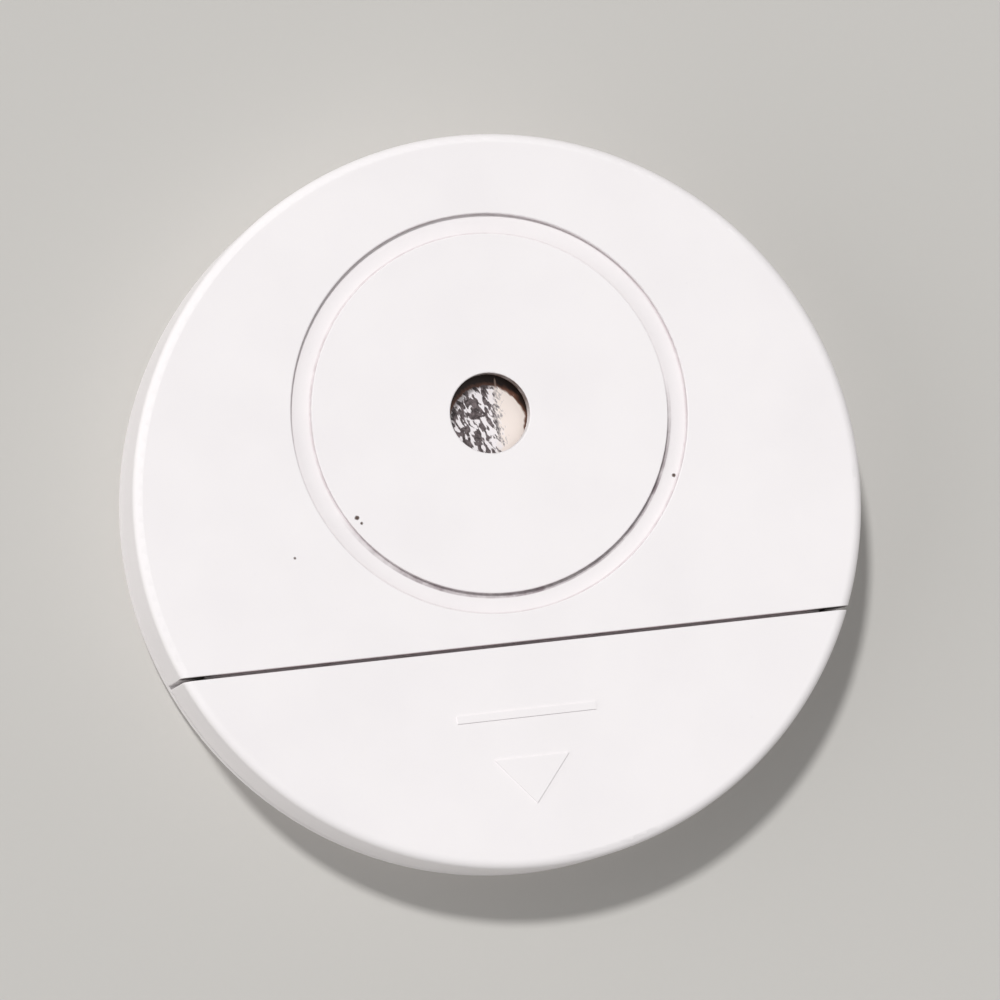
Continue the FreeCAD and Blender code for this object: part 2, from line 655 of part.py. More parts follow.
# Contacts: sheet strips bent along a line
def strip_outline(line, thick):
    """The two long sides of a strip whose middle follows line, mitred at its bends."""
    sides = []
    for index, (x, y) in enumerate(line):
        before = line[max(index - 1, 0)]
        after = line[min(index + 1, len(line) - 1)]
        headings = []
        for (x_from, y_from), (x_to, y_to) in ((before, (x, y)), ((x, y), after)):
            length = math.hypot(x_to - x_from, y_to - y_from)
            if length:
                headings.append(((x_to - x_from) / length, (y_to - y_from) / length))
        normal = Vector(-sum(way[1] for way in headings), sum(way[0] for way in headings), 0).normalize()
        stretch = 1 / abs(normal.dot(Vector(-headings[0][1], headings[0][0], 0)))
        sides.append(normal * (thick / 2 * stretch))
    left = [Vector(x, y, 0) + side for (x, y), side in zip(line, sides)]
    right = [Vector(x, y, 0) - side for (x, y), side in zip(line, sides)]
    return left + right[::-1]


def bent_strip(label, line, wide, spot, holes=()):
    """A strip bent along line in its first two axes, pushed out by wide along the third."""
    corners = strip_outline(line, number("strip_thick"))
    solid = Part.Face(Part.makePolygon(corners + corners[:1])).extrude(Vector(0, 0, wide))
    for hole in holes:
        solid = solid.cut(hole)
    made = doc.addObject("Part::Feature", label)
    made.Label = label
    made.Shape = solid
    made.Placement = spot
    return made


def arch(middle, base, peak):
    """The corners of one springy arch of a strip, centred on middle."""
    flat = number("arch_long / 2")
    foot = flat + number("arch_ramp")
    return [(middle - foot, base), (middle - flat, peak), (middle + flat, peak), (middle + foot, base)]


# Upright planes for the strips: along Y with Z up, and along X with Z up
ALONG_Y = Rotation(Vector(0, 1, 0), Vector(0, 0, 1), Vector(1, 0, 0), "XYZ")
ALONG_X = Rotation(Vector(1, 0, 0), Vector(0, 0, 1), Vector(0, -1, 0), "XYZ")


def contacts():
    wide = number("strip_wide")
    half = number("strip_thick / 2")
    base = number(CHANNEL) + half
    peak = number(f"{CELL_UNDER} - touch_gap") - half
    pitch = number(CELL_PITCH)
    row = -number(CELL_OFF)
    tail = number("arch_long / 2 + arch_ramp + strip_tail")

    tab = -number(TAB_OFF)
    tab_top = number(f"{BOARD_TOP} + lead_drop")
    minus_line = [(row - tail, base), *arch(row, base, peak), (tab, base), (tab, tab_top)]
    minus = bent_strip("contact_minus", minus_line, wide, Placement(Vector(-pitch - wide / 2, 0, 0), ALONG_Y))

    link_line = [(-tail, base), *arch(0, base, peak), *arch(pitch, base, peak), (pitch + tail, base)]
    link = bent_strip("cell_link", link_line, wide, Placement(Vector(0, row + wide / 2, 0), ALONG_X))

    high = number(CEILING) - half
    low = number(f"{CELL_TOP} + touch_gap") + half
    door_line = [(-pitch - tail, high), *arch(-pitch, high, low), *arch(0, high, low), (tail, high)]
    holes = []
    for x, _ in STUDS:
        foot = Vector(number(x), high - 2 * half, wide / 2)
        holes.append(Part.makeCylinder(number("stud_dia / 2 + pilot_gap"), 4 * half, foot, Vector(0, 1, 0)))
    middle = Placement(Vector(0, row + wide / 2, 0), ALONG_X)
    return [minus, link, bent_strip("door_link", door_line, wide, middle, holes), contact_plus()]


def contact_plus():
    """A leaf on edge that presses on the third cell's side and is soldered by its tab."""
    side = number(f"{CELL_PITCH} + cell_dia / 2 + touch_gap + strip_thick / 2")
    row = -number(CELL_OFF)
    line_x = number(LEAF_LINE)
    tab = -number(TAB_OFF)
    tab_half = number("tab_wide / 2")
    line = [
        (line_x - number("strip_clear"), row - number("leaf_end")),
        (side, row),
        (line_x, row + number("leaf_run")),
        (line_x, tab + tab_half),
    ]
    corners = strip_outline(line, number("strip_thick"))
    leaf = Part.Face(Part.makePolygon(corners + corners[:1])).extrude(Vector(0, 0, number("leaf_tall")))
    low = number(f"{BOARD_TOP} + touch_gap")
    leaf.translate(Vector(0, 0, low))
    foot = number(f"{BOARD_UNDER} - lead_drop")
    thick = number("strip_thick")
    corner = Vector(line_x - thick / 2, tab - tab_half, foot)
    prong = Part.makeBox(thick, 2 * tab_half, low - foot + thick, corner)
    made = doc.addObject("Part::Feature", "contact_plus")
    made.Label = "contact_plus"
    made.Shape = leaf.fuse(prong).removeSplitter()
    return made


# Circuit board and what stands on it
def rim_spot(size, angle):
    """The middle of a part of this size that stands by the board's rim, at an angle."""
    ring = f"({BOARD_RADIUS} - {size} / 2 - edge_gap)"
    return f"({ring} * cos({angle}))", f"({ring} * sin({angle}))"


SENSOR_AT = f"({SCREW_AT} + sensor_at)"
CAN_AT = f"(180 - {SCREW_AT} - can_at)"
COIL_AT = f"(180 - {SCREW_AT} + coil_at)"
RED_AT = f"(180 - {SCREW_AT} + red_at)"
BLACK_AT = f"(180 - {SCREW_AT} - black_at)"
SENSOR_X, SENSOR_Y = rim_spot("sensor_dia", SENSOR_AT)
CAN_X, CAN_Y = rim_spot("can_dia", CAN_AT)
COIL_X, COIL_Y = rim_spot("coil_dia", COIL_AT)


def lead_spots(x, y, angle, length):
    """Where the leads of a can that lies along the rim go through the board."""
    reach = f"({length} / 2 + lead_out)"
    return [(f"{x} {way} {reach} * sin({angle})", f"{y} {back} {reach} * cos({angle})")
            for way, back in ("-+", "+-")]


def circuit_board():
    body = new_body("circuit_board")
    disc(body, "sheet", BOARD_RADIUS, BOARD_UNDER, BOARD_TOP)
    block(body, "straight_edge", f"-{OUTER}", OUTER, f"-{OUTER}", f"-{BOARD_EDGE}",
          BOARD_UNDER, BOARD_TOP, cut=True)
    round_holes(body, "notches", HOUSING_SCREWS, "boss_dia / 2 + notch_gap", BOARD_UNDER, BOARD_TOP)
    round_holes(body, "screw_holes", BOARD_SCREWS, "screw_dia / 2 + hole_gap", BOARD_UNDER, BOARD_TOP)
    spots = lead_spots(CAN_X, CAN_Y, CAN_AT, "can_long")[:1]
    spots += lead_spots(SENSOR_X, SENSOR_Y, SENSOR_AT, "sensor_long")
    round_holes(body, "lead_holes", spots, "lead_dia / 2 + lead_gap", BOARD_UNDER, BOARD_TOP)
    across = "(strip_wide / 2 + strip_clear)"
    thin = "(strip_thick / 2 + strip_clear)"
    block(body, "minus_slot", f"-{CELL_PITCH} - {across}", f"-{CELL_PITCH} + {across}",
          f"-{TAB_OFF} - {thin}", f"-{TAB_OFF} + {thin}", BOARD_UNDER, BOARD_TOP, cut=True)
    block(body, "plus_slot", f"{LEAF_LINE} - {thin}", f"{LEAF_LINE} + {thin}",
          f"-{TAB_OFF} - tab_wide / 2 - strip_clear", f"-{TAB_OFF} + tab_wide / 2 + strip_clear",
          BOARD_UNDER, BOARD_TOP, cut=True)
    pins = sketch_on(body, "pin_holes_outline", "XY_Plane", BOARD_UNDER, SWITCH_AT)
    for step in (-1, 0, 1):
        circle(pins, PIN_LINE, f"{step} * pin_pitch", "pin_wide / 2 + lead_gap")
    pocket(body, pins, "pin_holes", "board_thick")
    return body


def chip_blob():
    body = new_body("chip_blob")
    profile = sketch_on(body, "profile", "XZ_Plane")
    steps = [(f"blob_dia / 2 - blob_tall * {inward}", f"blob_tall * {up}") for inward, up in BLOB_STEPS]
    polygon(profile, [("0", "0"), ("blob_dia / 2", "0"), *steps, ("0", "blob_tall")])
    turned(body, "Revolution", profile, "dome")
    place(body, "blob_x", f"blob_y - {BOARD_EDGE}", BOARD_TOP)
    return body


def boost_coil():
    core = new_body("boost_coil_core")
    profile = sketch_on(core, "profile", "XZ_Plane")
    polygon(profile, [
        ("0", "0"),
        ("coil_dia / 2", "0"),
        ("coil_dia / 2", "coil_flange"),
        ("coil_neck / 2", "coil_flange"),
        ("coil_neck / 2", "coil_tall - coil_flange"),
        ("coil_dia / 2", "coil_tall - coil_flange"),
        ("coil_dia / 2", "coil_tall"),
        ("0", "coil_tall"),
    ])
    turned(core, "Revolution", profile, "drum")
    place(core, COIL_X, COIL_Y, BOARD_TOP)

    winding = new_body("boost_coil_winding")
    band = sketch_on(winding, "profile", "XZ_Plane")
    rectangle(band, "coil_neck / 2 + pilot_gap", "coil_dia / 2 - coil_sunk",
              "coil_flange + pilot_gap", "coil_tall - coil_flange - pilot_gap")
    turned(winding, "Revolution", band, "turns")
    place(winding, COIL_X, COIL_Y, BOARD_TOP)
    return [core, winding]


def chip_part(label, x, inward, tall):
    made = doc.addObject("Part::Box", label)
    made.Label = label
    bind(made, Length="chip_long", Width="chip_wide", Height=tall)
    place(made, f"{x} - chip_long / 2", f"{inward} - {BOARD_EDGE} - chip_wide / 2", BOARD_TOP)
    return made


def transistor():
    body = new_body("transistor")
    block(body, "case", "-transistor_long / 2", "transistor_long / 2", "-transistor_wide / 2",
          "transistor_wide / 2", "leg_thick", "transistor_tall")
    for step in (-1, 0, 1):
        middle = f"{step} * (transistor_long - leg_wide * 2) / 2"
        block(body, f"leg_{step + 2}", f"{middle} - leg_wide / 2", f"{middle} + leg_wide / 2",
              "-transistor_wide / 2 - transistor_leg", "0", "0", "leg_thick")
    place(body, "transistor_x", f"transistor_y - {BOARD_EDGE}", BOARD_TOP)
    return body


# Round wire along a bent line, with each bend an arc as large as its runs allow
def rounded_path(points):
    edges = []
    start = points[0]
    for before, corner, after in zip(points, points[1:], points[2:]):
        back, ahead = before - corner, after - corner
        run = BEND_SHARE * min(back.Length, ahead.Length)
        turn = math.pi - back.getAngle(ahead)
        radius = run / math.tan(turn / 2)
        back.normalize()
        ahead.normalize()
        enter, leave = corner + back * run, corner + ahead * run
        bisector = (back + ahead).normalize()
        middle = corner + bisector * (math.hypot(radius, run) - radius)
        edges.append(Part.LineSegment(start, enter).toShape())
        edges.append(Part.Arc(enter, middle, leave).toShape())
        start = leave
    edges.append(Part.LineSegment(start, points[-1]).toShape())
    return Part.Wire(edges)


def tube(points, diameter):
    path = rounded_path(points)
    heading = points[1] - points[0]
    section = Part.Wire(Part.makeCircle(diameter / 2, points[0], heading))
    solid = path.makePipeShell([section], True, True)
    wanted = path.Length * math.pi * diameter ** 2 / 4
    if abs(solid.Volume / wanted - 1) > TUBE_SLACK:
        raise ValueError(f"tube volume {solid.Volume:.3f} is not {wanted:.3f}")
    return solid


def lying_can(label, diameter, length, x, y, angle, ways):
    """A can lying along the board's rim, with a lead at each of its ends that ways names."""
    radius, half = number(diameter) / 2, number(length) / 2
    edge = number("can_round")
    can = Part.makeCylinder(radius, 2 * half, Vector(-half, 0, radius), Vector(1, 0, 0))
    rims = [rim for rim in can.Edges if hasattr(rim.Curve, "Radius")]
    solid = can.makeFillet(edge, rims)
    out = number("lead_out")
    down = -number("board_thick + lead_drop")
    for way in ways:
        line = [Vector(way * (half - edge), 0, radius), Vector(way * (half + out), 0, radius),
                Vector(way * (half + out), 0, down)]
        solid = solid.fuse(tube(line, number("lead_dia")))
    made = doc.addObject("Part::Feature", label)
    made.Label = label
    made.Shape = solid.removeSplitter()
    place(made, x, y, BOARD_TOP, f"{angle} + 90")
    return made


# Sounder wires and solder
def wire_points(angle, end, back):
    """A wire's points: from the board's rim, in under the sounder's seat and up to its back."""
    off = number("wire_dia / 2 + wire_gap")
    low, high = number(BOARD_TOP) + off, number(back) - off
    x, y = (number(size) for size in rim_spot("solder_dia", angle))
    axis = Vector(0, number(SOUND_Y), 0)
    outward = Vector(x, y, 0) - axis
    seat = number(SEAT_OUT)
    dip = seat + DIP_SHARE * (outward.Length - seat)
    outward.normalize()
    stops = ((dip, low), (number(f"{SEAT_IN} - wire_dia"), high), (number(end), high))
    return [Vector(x, y, low)] + [axis + outward * far + Vector(0, 0, level) for far, level in stops]


def shape_feature(label, shape):
    made = doc.addObject("Part::Feature", label)
    made.Label = label
    made.Shape = shape
    return made


def solder_drop(spot, up, wire):
    """A drop of solder on a flat face, with the wire that it holds cut out of it."""
    drop = Part.makeCone(number("solder_dia / 2"), number("solder_top_dia / 2"), number("solder_tall"),
                         spot, Vector(0, 0, up))
    return drop.cut(wire)


def sounder_wires():
    made = []
    black_in = "ceramic_dia / 2 + solder_dia / 2 + wire_gap"
    routes = (("red", RED_AT, "red_in", CERAMIC_BACK), ("black", BLACK_AT, black_in, DISC_BACK))
    for colour, angle, end, back in routes:
        points = wire_points(angle, end, back)
        solid = tube(points, number("wire_dia"))
        made.append(shape_feature(f"sounder_wire_{colour}", solid))
        first, last = points[0], points[-1]
        ends = (
            ("board", Vector(first.x, first.y, number(BOARD_TOP)), 1),
            ("sounder", Vector(last.x, last.y, number(back)), -1),
        )
        for where, spot, up in ends:
            made.append(shape_feature(f"solder_{colour}_{where}", solder_drop(spot, up, solid)))
    return made


# Switch, in its own frame: X out through the wall, Y along its travel
def switch():
    case = new_body("switch_case")
    half = "(switch_long / 2)"
    top = "(switch_tall)"
    block(case, "box", SWITCH_BACK, SWITCH_FACE, f"-{half}", half, "0", top)
    foot_half = "((knob_foot + switch_travel) / 2 + knob_under)"
    stem_half = "((knob_wide + switch_travel) / 2 + switch_gap)"
    low = "((switch_tall - knob_tall) / 2 - knob_under)"
    high = "((switch_tall + knob_tall) / 2 + knob_under)"
    block(case, "cavity", f"{SWITCH_FACE} - switch_skin - knob_foot_deep - knob_under * 2",
          f"{SWITCH_FACE} - switch_skin", f"-{foot_half}", foot_half, low, high, cut=True)
    block(case, "window", f"{SWITCH_FACE} - switch_skin", SWITCH_FACE, f"-{stem_half}", stem_half,
          low, high, cut=True)
    place(case, z=BOARD_TOP, turn=SWITCH_AT)

    knob = new_body("switch_knob")
    rest = "(-switch_travel / 2)"
    under = "((switch_tall - knob_tall) / 2)"
    over = "((switch_tall + knob_tall) / 2)"
    foot_face = f"({SWITCH_FACE} - switch_skin - knob_under)"
    tip = f"({OUTER} - knob_under)"
    block(knob, "foot", f"{foot_face} - knob_foot_deep", foot_face, f"{rest} - knob_foot / 2",
          f"{rest} + knob_foot / 2", under, over)
    block(knob, "stem", foot_face, tip, f"{rest} - knob_wide / 2", f"{rest} + knob_wide / 2", under, over)
    for step in (-1, 0, 1):
        middle = f"({rest} + {step} * grip_wide * {GRIP_PITCH})"
        block(knob, f"grip_{step + 2}", f"{tip} - grip_deep", tip, f"{middle} - grip_wide / 2",
              f"{middle} + grip_wide / 2", under, over, cut=True)
    place(knob, z=BOARD_TOP, turn=SWITCH_AT)

    pins = []
    for step in (-1, 0, 1):
        pin = new_body(f"switch_pin_{step + 2}")
        middle = f"({step} * pin_pitch)"
        block(pin, "blade", f"{PIN_LINE} - pin_thick / 2", f"{PIN_LINE} + pin_thick / 2",
              f"{middle} - pin_wide / 2", f"{middle} + pin_wide / 2", "(-board_thick - lead_drop)", "0")
        place(pin, z=BOARD_TOP, turn=SWITCH_AT)
        pins.append(pin)
    return [case, knob, *pins]


# Screws
def screw(label, x, y, z, long, up):
    """A pan-head screw with a cross slot: its head's outer face at z, its shank going up or down."""
    radius, head = number("screw_dia / 2"), number("head_tall")
    shank_long, reach = number(long), number("cross_long")
    wide, deep = number("cross_wide"), number("cross_deep")
    solid = Part.makeCylinder(number("head_dia / 2"), head)
    solid = solid.fuse(Part.makeCylinder(radius, shank_long - radius, Vector(0, 0, head)))
    tip = Vector(0, 0, head + shank_long - radius)
    solid = solid.fuse(Part.makeCone(radius, radius * TIP_SHARE, radius, tip))
    for size_x, size_y in ((reach, wide), (wide, reach)):
        solid = solid.cut(Part.makeBox(size_x, size_y, deep, Vector(-size_x / 2, -size_y / 2, 0)))
    made = doc.addObject("Part::Feature", label)
    made.Shape = solid.removeSplitter()
    flip = Rotation(Vector(1, 0, 0), 0 if up else 180)
    made.Placement = Placement(Vector(number(x), number(y), number(z)), flip)
    return made


def screw_group(label, spots, z, long, up):
    group = doc.addObject("Part::Compound", label)
    group.Label = label
    group.Links = [screw(f"{label}_{index}", x, y, z, long, up) for index, (x, y) in enumerate(spots, 1)]
    return group


def build():
    nodes = [front_cover(), rear_housing(), battery_door(), adhesive_pad()]
    nodes += sounder()
    nodes += cells()
    nodes += contacts()
    nodes += [circuit_board(), chip_blob(), transistor()]
    nodes += boost_coil()
    nodes += [chip_part(*chip) for chip in CHIPS]
    nodes += [
        lying_can("electrolytic_capacitor", "can_dia", "can_long", CAN_X, CAN_Y, CAN_AT, [1]),
        lying_can("shock_sensor", "sensor_dia", "sensor_long", SENSOR_X, SENSOR_Y, SENSOR_AT, [1, -1]),
    ]
    nodes += sounder_wires()
    nodes += switch()
    nodes += [
        screw_group("housing_screws", HOUSING_SCREWS, "pad_thick + head_sunk", "screw_long", True),
        screw_group("board_screws", BOARD_SCREWS, f"{BOARD_TOP} + head_tall", "board_screw_long", False),
    ]
    doc.recompute()
    return nodes


def check(nodes):
    for made in doc.Objects:
        if {"Invalid", "Error"} & set(made.State):
            raise ValueError(f"{made.Label} failed: {made.State}")
    for node in nodes:
        if node.Shape.isNull() or not node.Shape.isValid() or not node.Shape.Solids:
            raise ValueError(f"{node.Label} has no valid solid")


def export(nodes):
    os.makedirs("parts", exist_ok=True)
    for node in nodes:
        node.Shape.exportStep(f"parts/{node.Label}.step")


made_nodes = build()
check(made_nodes)
export(made_nodes)
print(len(made_nodes), "pieces written")
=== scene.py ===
# Glass break sensor, lying on its back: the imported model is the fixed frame, and this adds its looks.
import math
import bpy
from mathutils import Matrix, Vector


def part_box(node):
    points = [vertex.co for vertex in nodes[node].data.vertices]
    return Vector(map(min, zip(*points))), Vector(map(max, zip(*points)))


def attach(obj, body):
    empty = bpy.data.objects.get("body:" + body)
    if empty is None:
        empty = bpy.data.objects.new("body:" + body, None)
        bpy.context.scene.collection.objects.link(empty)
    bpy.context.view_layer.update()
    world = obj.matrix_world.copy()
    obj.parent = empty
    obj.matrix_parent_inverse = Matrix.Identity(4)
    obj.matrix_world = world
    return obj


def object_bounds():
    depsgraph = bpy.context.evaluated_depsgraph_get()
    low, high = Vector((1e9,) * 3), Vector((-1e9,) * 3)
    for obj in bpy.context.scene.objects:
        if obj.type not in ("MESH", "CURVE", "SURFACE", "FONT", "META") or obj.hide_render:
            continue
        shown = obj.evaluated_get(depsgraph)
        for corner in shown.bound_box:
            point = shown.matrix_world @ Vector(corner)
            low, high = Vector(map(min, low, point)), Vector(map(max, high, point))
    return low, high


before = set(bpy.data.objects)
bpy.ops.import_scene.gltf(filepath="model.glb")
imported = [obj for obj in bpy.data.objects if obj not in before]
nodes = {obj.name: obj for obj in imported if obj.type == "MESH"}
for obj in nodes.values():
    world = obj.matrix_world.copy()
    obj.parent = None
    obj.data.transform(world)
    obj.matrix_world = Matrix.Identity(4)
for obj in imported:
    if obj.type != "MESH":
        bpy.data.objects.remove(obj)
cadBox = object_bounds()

mm = 0.001
usualNoise = (0.3, 0.7)  # most of a noise's values lie between these


def middleOf(node):
    low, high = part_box(node)
    return (low + high) / 2


# A node tree while it is built
class Nodes:
    def __init__(self, tree):
        self.tree = tree

    def feed(self, socket, value):
        if isinstance(value, bpy.types.NodeSocket):
            self.tree.links.new(value, socket)
        elif socket.type == "RGBA":
            socket.default_value = (*value, 1)
        else:
            socket.default_value = value

    def add(self, kind, feeds, **settings):
        node = self.tree.nodes.new(kind)
        for key, value in settings.items():
            setattr(node, key, value)
        for key, value in feeds.items():
            self.feed(node.inputs[key], value)
        return node

    def sums(self, operation, a, b=0.0):
        return self.add("ShaderNodeMath", {0: a, 1: b}, operation=operation).outputs[0]

    def times(self, a, b):
        return self.sums("MULTIPLY", a, b)

    def plus(self, a, b):
        return self.sums("ADD", a, b)

    def minus(self, a, b):
        return self.sums("SUBTRACT", a, b)

    def split(self, spot):
        return self.add("ShaderNodeSeparateXYZ", {0: spot}).outputs

    def stretch(self, spot, x, y, z):
        return self.add("ShaderNodeVectorMath", {0: spot, 1: (x, y, z)}, operation="MULTIPLY").outputs[0]


# Materials. A Finish is one material while it is built; its lengths are in mm.
class Finish(Nodes):
    def __init__(self, name, **values):
        self.material = bpy.data.materials.new(name)
        self.material.use_nodes = True
        super().__init__(self.material.node_tree)
        self.shader = self.tree.nodes["Principled BSDF"]
        self.put(**values)

    def put(self, **values):
        for key, value in values.items():
            self.feed(self.shader.inputs[key.replace("_", " ")], value)

    # A point's place in mm, from a centre that is in metres
    def place(self, centre=(0, 0, 0), turn=0.0):
        coords = self.add("ShaderNodeTexCoord", {}).outputs["Object"]
        feeds = {"Vector": coords, "Location": centre, "Rotation": (0, 0, turn), "Scale": (mm, mm, mm)}
        return self.add("ShaderNodeMapping", feeds, vector_type="TEXTURE").outputs[0]

    def flat(self, spot):
        return self.stretch(spot, 1, 1, 0)

    def noise(self, spot, size, detail=2.0, roughness=0.5, distortion=0.0):
        feeds = {"Vector": spot, "Scale": 1 / size, "Detail": detail, "Roughness": roughness,
                 "Distortion": distortion}
        return self.add("ShaderNodeTexNoise", feeds).outputs[0]

    # Value from low to high becomes toLow to toHigh
    def span(self, value, low, high, toLow=0.0, toHigh=1.0):
        feeds = {"Value": value, "From Min": low, "From Max": high, "To Min": toLow, "To Max": toHigh}
        return self.add("ShaderNodeMapRange", feeds).outputs[0]

    # A noise's usual values become low to high
    def spread(self, noise, low, high):
        return self.span(noise, *usualNoise, low, high)

    # 1 between low and high
    def band(self, value, low, high, soft=0.02):
        rise = self.span(value, low - soft, low + soft)
        return self.times(rise, self.span(value, high + soft, high - soft))

    def size(self, value):
        return self.sums("ABSOLUTE", value)

    def sine(self, value, pace):
        return self.sums("SINE", self.times(value, pace))

    def mix(self, share, first, second):
        return self.add("ShaderNodeMix", {0: share, 6: first, 7: second}, data_type="RGBA").outputs[2]

    def far(self, spot, centre=(0, 0, 0)):
        feeds = {0: spot, 1: centre}
        return self.add("ShaderNodeVectorMath", feeds, operation="DISTANCE").outputs["Value"]

    # Distance from the piece's upright axis
    def radius(self, spot):
        return self.far(self.flat(spot))

    def bump(self, height, depth, under=None):
        feeds = {"Height": height, "Distance": depth * mm, "Strength": 1.0}
        if under:
            feeds["Normal"] = under
        return self.add("ShaderNodeBump", feeds).outputs[0]


def dress(material, *names):
    for name in names:
        for slot in nodes[name].material_slots:
            slot.material = material


# One colour grown into a paler one by a fine noise, which also roughens and pits it. The grain is the
# noise's size, detail and roughness.
def grained(name, look, **values):
    finish = Finish(name, **values)
    grain = finish.noise(finish.place(), *look["grain"])
    finish.put(Base_Color=finish.mix(grain, look["colour"], look["pale"]))
    finish.put(Normal=finish.bump(grain, look["depth"]))
    if "roughness" in look:
        finish.put(Roughness=finish.spread(grain, *look["roughness"]))
    return finish.material


# White moulded case. A pair is where a thing starts and where it is full; a speck is x, y and radius.
caseLook = {
    "colour": (0.897, 0.863, 0.868),
    "cloud": (0.872, 0.838, 0.845),
    "cloudSize": 8.0,
    "cloudSpan": (0.35, 0.7),
    "specular": 0.4,
    "roughness": (0.4, 0.5),
    "roughSize": 1.6,
    "grainSize": 0.14,
    "grainDepth": 0.0035,
    "waveSize": 12.0,
    "waveDepth": 0.05,
    # painted light: the housing's plastic is made a little lighter for the light its side catches
    "backPaintedLift": 1.02,
    "dust": (0.6, 0.57, 0.55),
    "dustSize": 0.5,
    "dustSpan": (0.7, 0.82),
    "dustShare": 0.12,
    "specks": [(15.3, 0.55, 0.17), (-12.5, -0.25, 0.2), (-12.15, -0.75, 0.13), (-18.2, -3.1, 0.11)],
    "speckColour": (0.09, 0.06, 0.05),
    "speckRagged": 0.12,
    "speckSoft": 0.1,
    # Painted shade below the face: the depths where it starts and ends, and how unevenly it lies
    "shadeDeep": (0.05, 0.2),
    "shadeEnd": (1.9, 1.5),
    "shadeSize": 1.1,
    "shadeSpan": (0.35, 0.6),
    "shadeLeast": 0.55,
    # painted shade on the seam's walls, in the gap between cover and door
    "seamShade": (0.74, 0.63, 0.645),
    "seamWalls": (-12.9, -11.8),
    "seamFacing": (0.7, 0.85),
    # painted shade in the seam's notch where it crosses the outer wall
    "endShade": (0.2, 0.165, 0.165),
    "endFrom": 28.8,
    "endSoft": 0.6,
    "endDeep": 2.2,
    "endFade": 0.8,
    "endSize": 0.7,
    "endRagged": 0.7,
    # painted shade on the ring groove's walls
    "ringShade": (0.7, 0.64, 0.65),
    "ringWalls": (15.42, 17.15),
    "ringHalf": 0.12,
    "ringSoft": 0.06,
    # painted shadow of the ring's inner wall, lying across the groove's floor in its lower part
    "ringShadow": (0.3, 0.25, 0.265),
    "ringShadowWide": 0.38,
    "ringShadowSoft": 0.05,
    "ringShadowBelow": (3.0, 11.0),
    "ringShadowLean": 0.3,
    "ringShadowSize": 1.8,
    "ringShadowSpan": (0.3, 0.6),
    "ringShadowLeast": 0.5,
    # painted shade on the sound hole's upper wall, a dark brown crescent
    "holeShade": (0.13, 0.07, 0.05),
    "holeWall": (3.65, 3.55),
    "holeUpper": 0.8,
}


def fromHole(finish, spot):
    sound = middleOf("sounder_disc") / mm
    return finish.far(finish.flat(spot), (sound.x, sound.y, 0))


def ringWalls(finish, spot):  # 1 on the ring's two walls
    away, half = fromHole(finish, spot), caseLook["ringHalf"]
    zone = 0.0
    for wall in caseLook["ringWalls"]:
        beside = finish.band(away, wall - half, wall + half, caseLook["ringSoft"])
        zone = finish.sums("MAXIMUM", zone, beside)
    return zone


def seamWalls(finish, spot):  # 1 on the seam's two walls, 0 on the outer wall and its rounded edge
    faces = finish.split(finish.add("ShaderNodeTexCoord", {}).outputs["Normal"])
    square = finish.span(finish.size(faces["Y"]), *caseLook["seamFacing"])
    return finish.times(finish.band(finish.split(spot)["Y"], *caseLook["seamWalls"]), square)


def seamEnds(finish, spot):  # 1 on the seam's walls near the case's outer wall
    start, soft = caseLook["endFrom"], caseLook["endSoft"]
    outer = finish.span(finish.radius(spot), start - soft, start + soft)
    return finish.times(seamWalls(finish, spot), outer)


def holeWall(finish, spot):  # 1 on the hole's wall, in its upper part
    half, middle = caseLook["holeUpper"], middleOf("sounder_disc").y / mm
    wall = finish.span(fromHole(finish, spot), *caseLook["holeWall"])
    return finish.times(wall, finish.span(finish.split(spot)["Y"], middle - half, middle + half))


def paintedRingShadow(finish, spot):  # painted shadow of the ring's inner wall, in its lower part
    look = caseLook
    wall, middle = look["ringWalls"][0], middleOf("sounder_disc").y / mm
    beside = finish.band(fromHole(finish, spot), wall, wall + look["ringShadowWide"], look["ringShadowSoft"])
    part = finish.split(spot)
    leaning = finish.minus(part["Y"], finish.times(part["X"], look["ringShadowLean"]))
    start, full = look["ringShadowBelow"]
    lower = finish.span(leaning, middle - start, middle - full)
    uneven = finish.noise(spot, look["ringShadowSize"], 3.0)
    uneven = finish.span(uneven, *look["ringShadowSpan"], look["ringShadowLeast"], 1.0)
    return finish.times(finish.times(beside, lower), uneven)


# Paints shade and shadow into the ring, the sound hole and the seam, just below the face
def paintedRecessShade(finish, spot, colour, topHeight, layers):  # in the ring and the seam, just below the face
    look = caseLook
    sunk = finish.minus(topHeight, finish.split(spot)["Z"])
    recessShade = finish.times(finish.span(sunk, *look["shadeDeep"]), finish.span(sunk, *look["shadeEnd"]))
    uneven = finish.noise(spot, look["shadeSize"], 3.0, 0.6)
    uneven = finish.span(uneven, *look["shadeSpan"], look["shadeLeast"], 1.0)
    recessShade = finish.times(recessShade, uneven)
    for where, tint in layers:
        colour = finish.mix(finish.times(recessShade, where(finish, spot)), colour, look[tint])
    # painted shade in the seam's gap near the outer wall, from just below the face down
    ragged = finish.spread(finish.noise(spot, look["endSize"], 3.0), -look["endRagged"], look["endRagged"])
    deep, fade = look["endDeep"], look["endFade"]
    above = finish.span(finish.plus(sunk, ragged), deep + fade, deep - fade)
    below = finish.times(finish.span(sunk, *look["shadeDeep"]), above)
    return finish.mix(finish.times(below, seamEnds(finish, spot)), colour, look["endShade"])


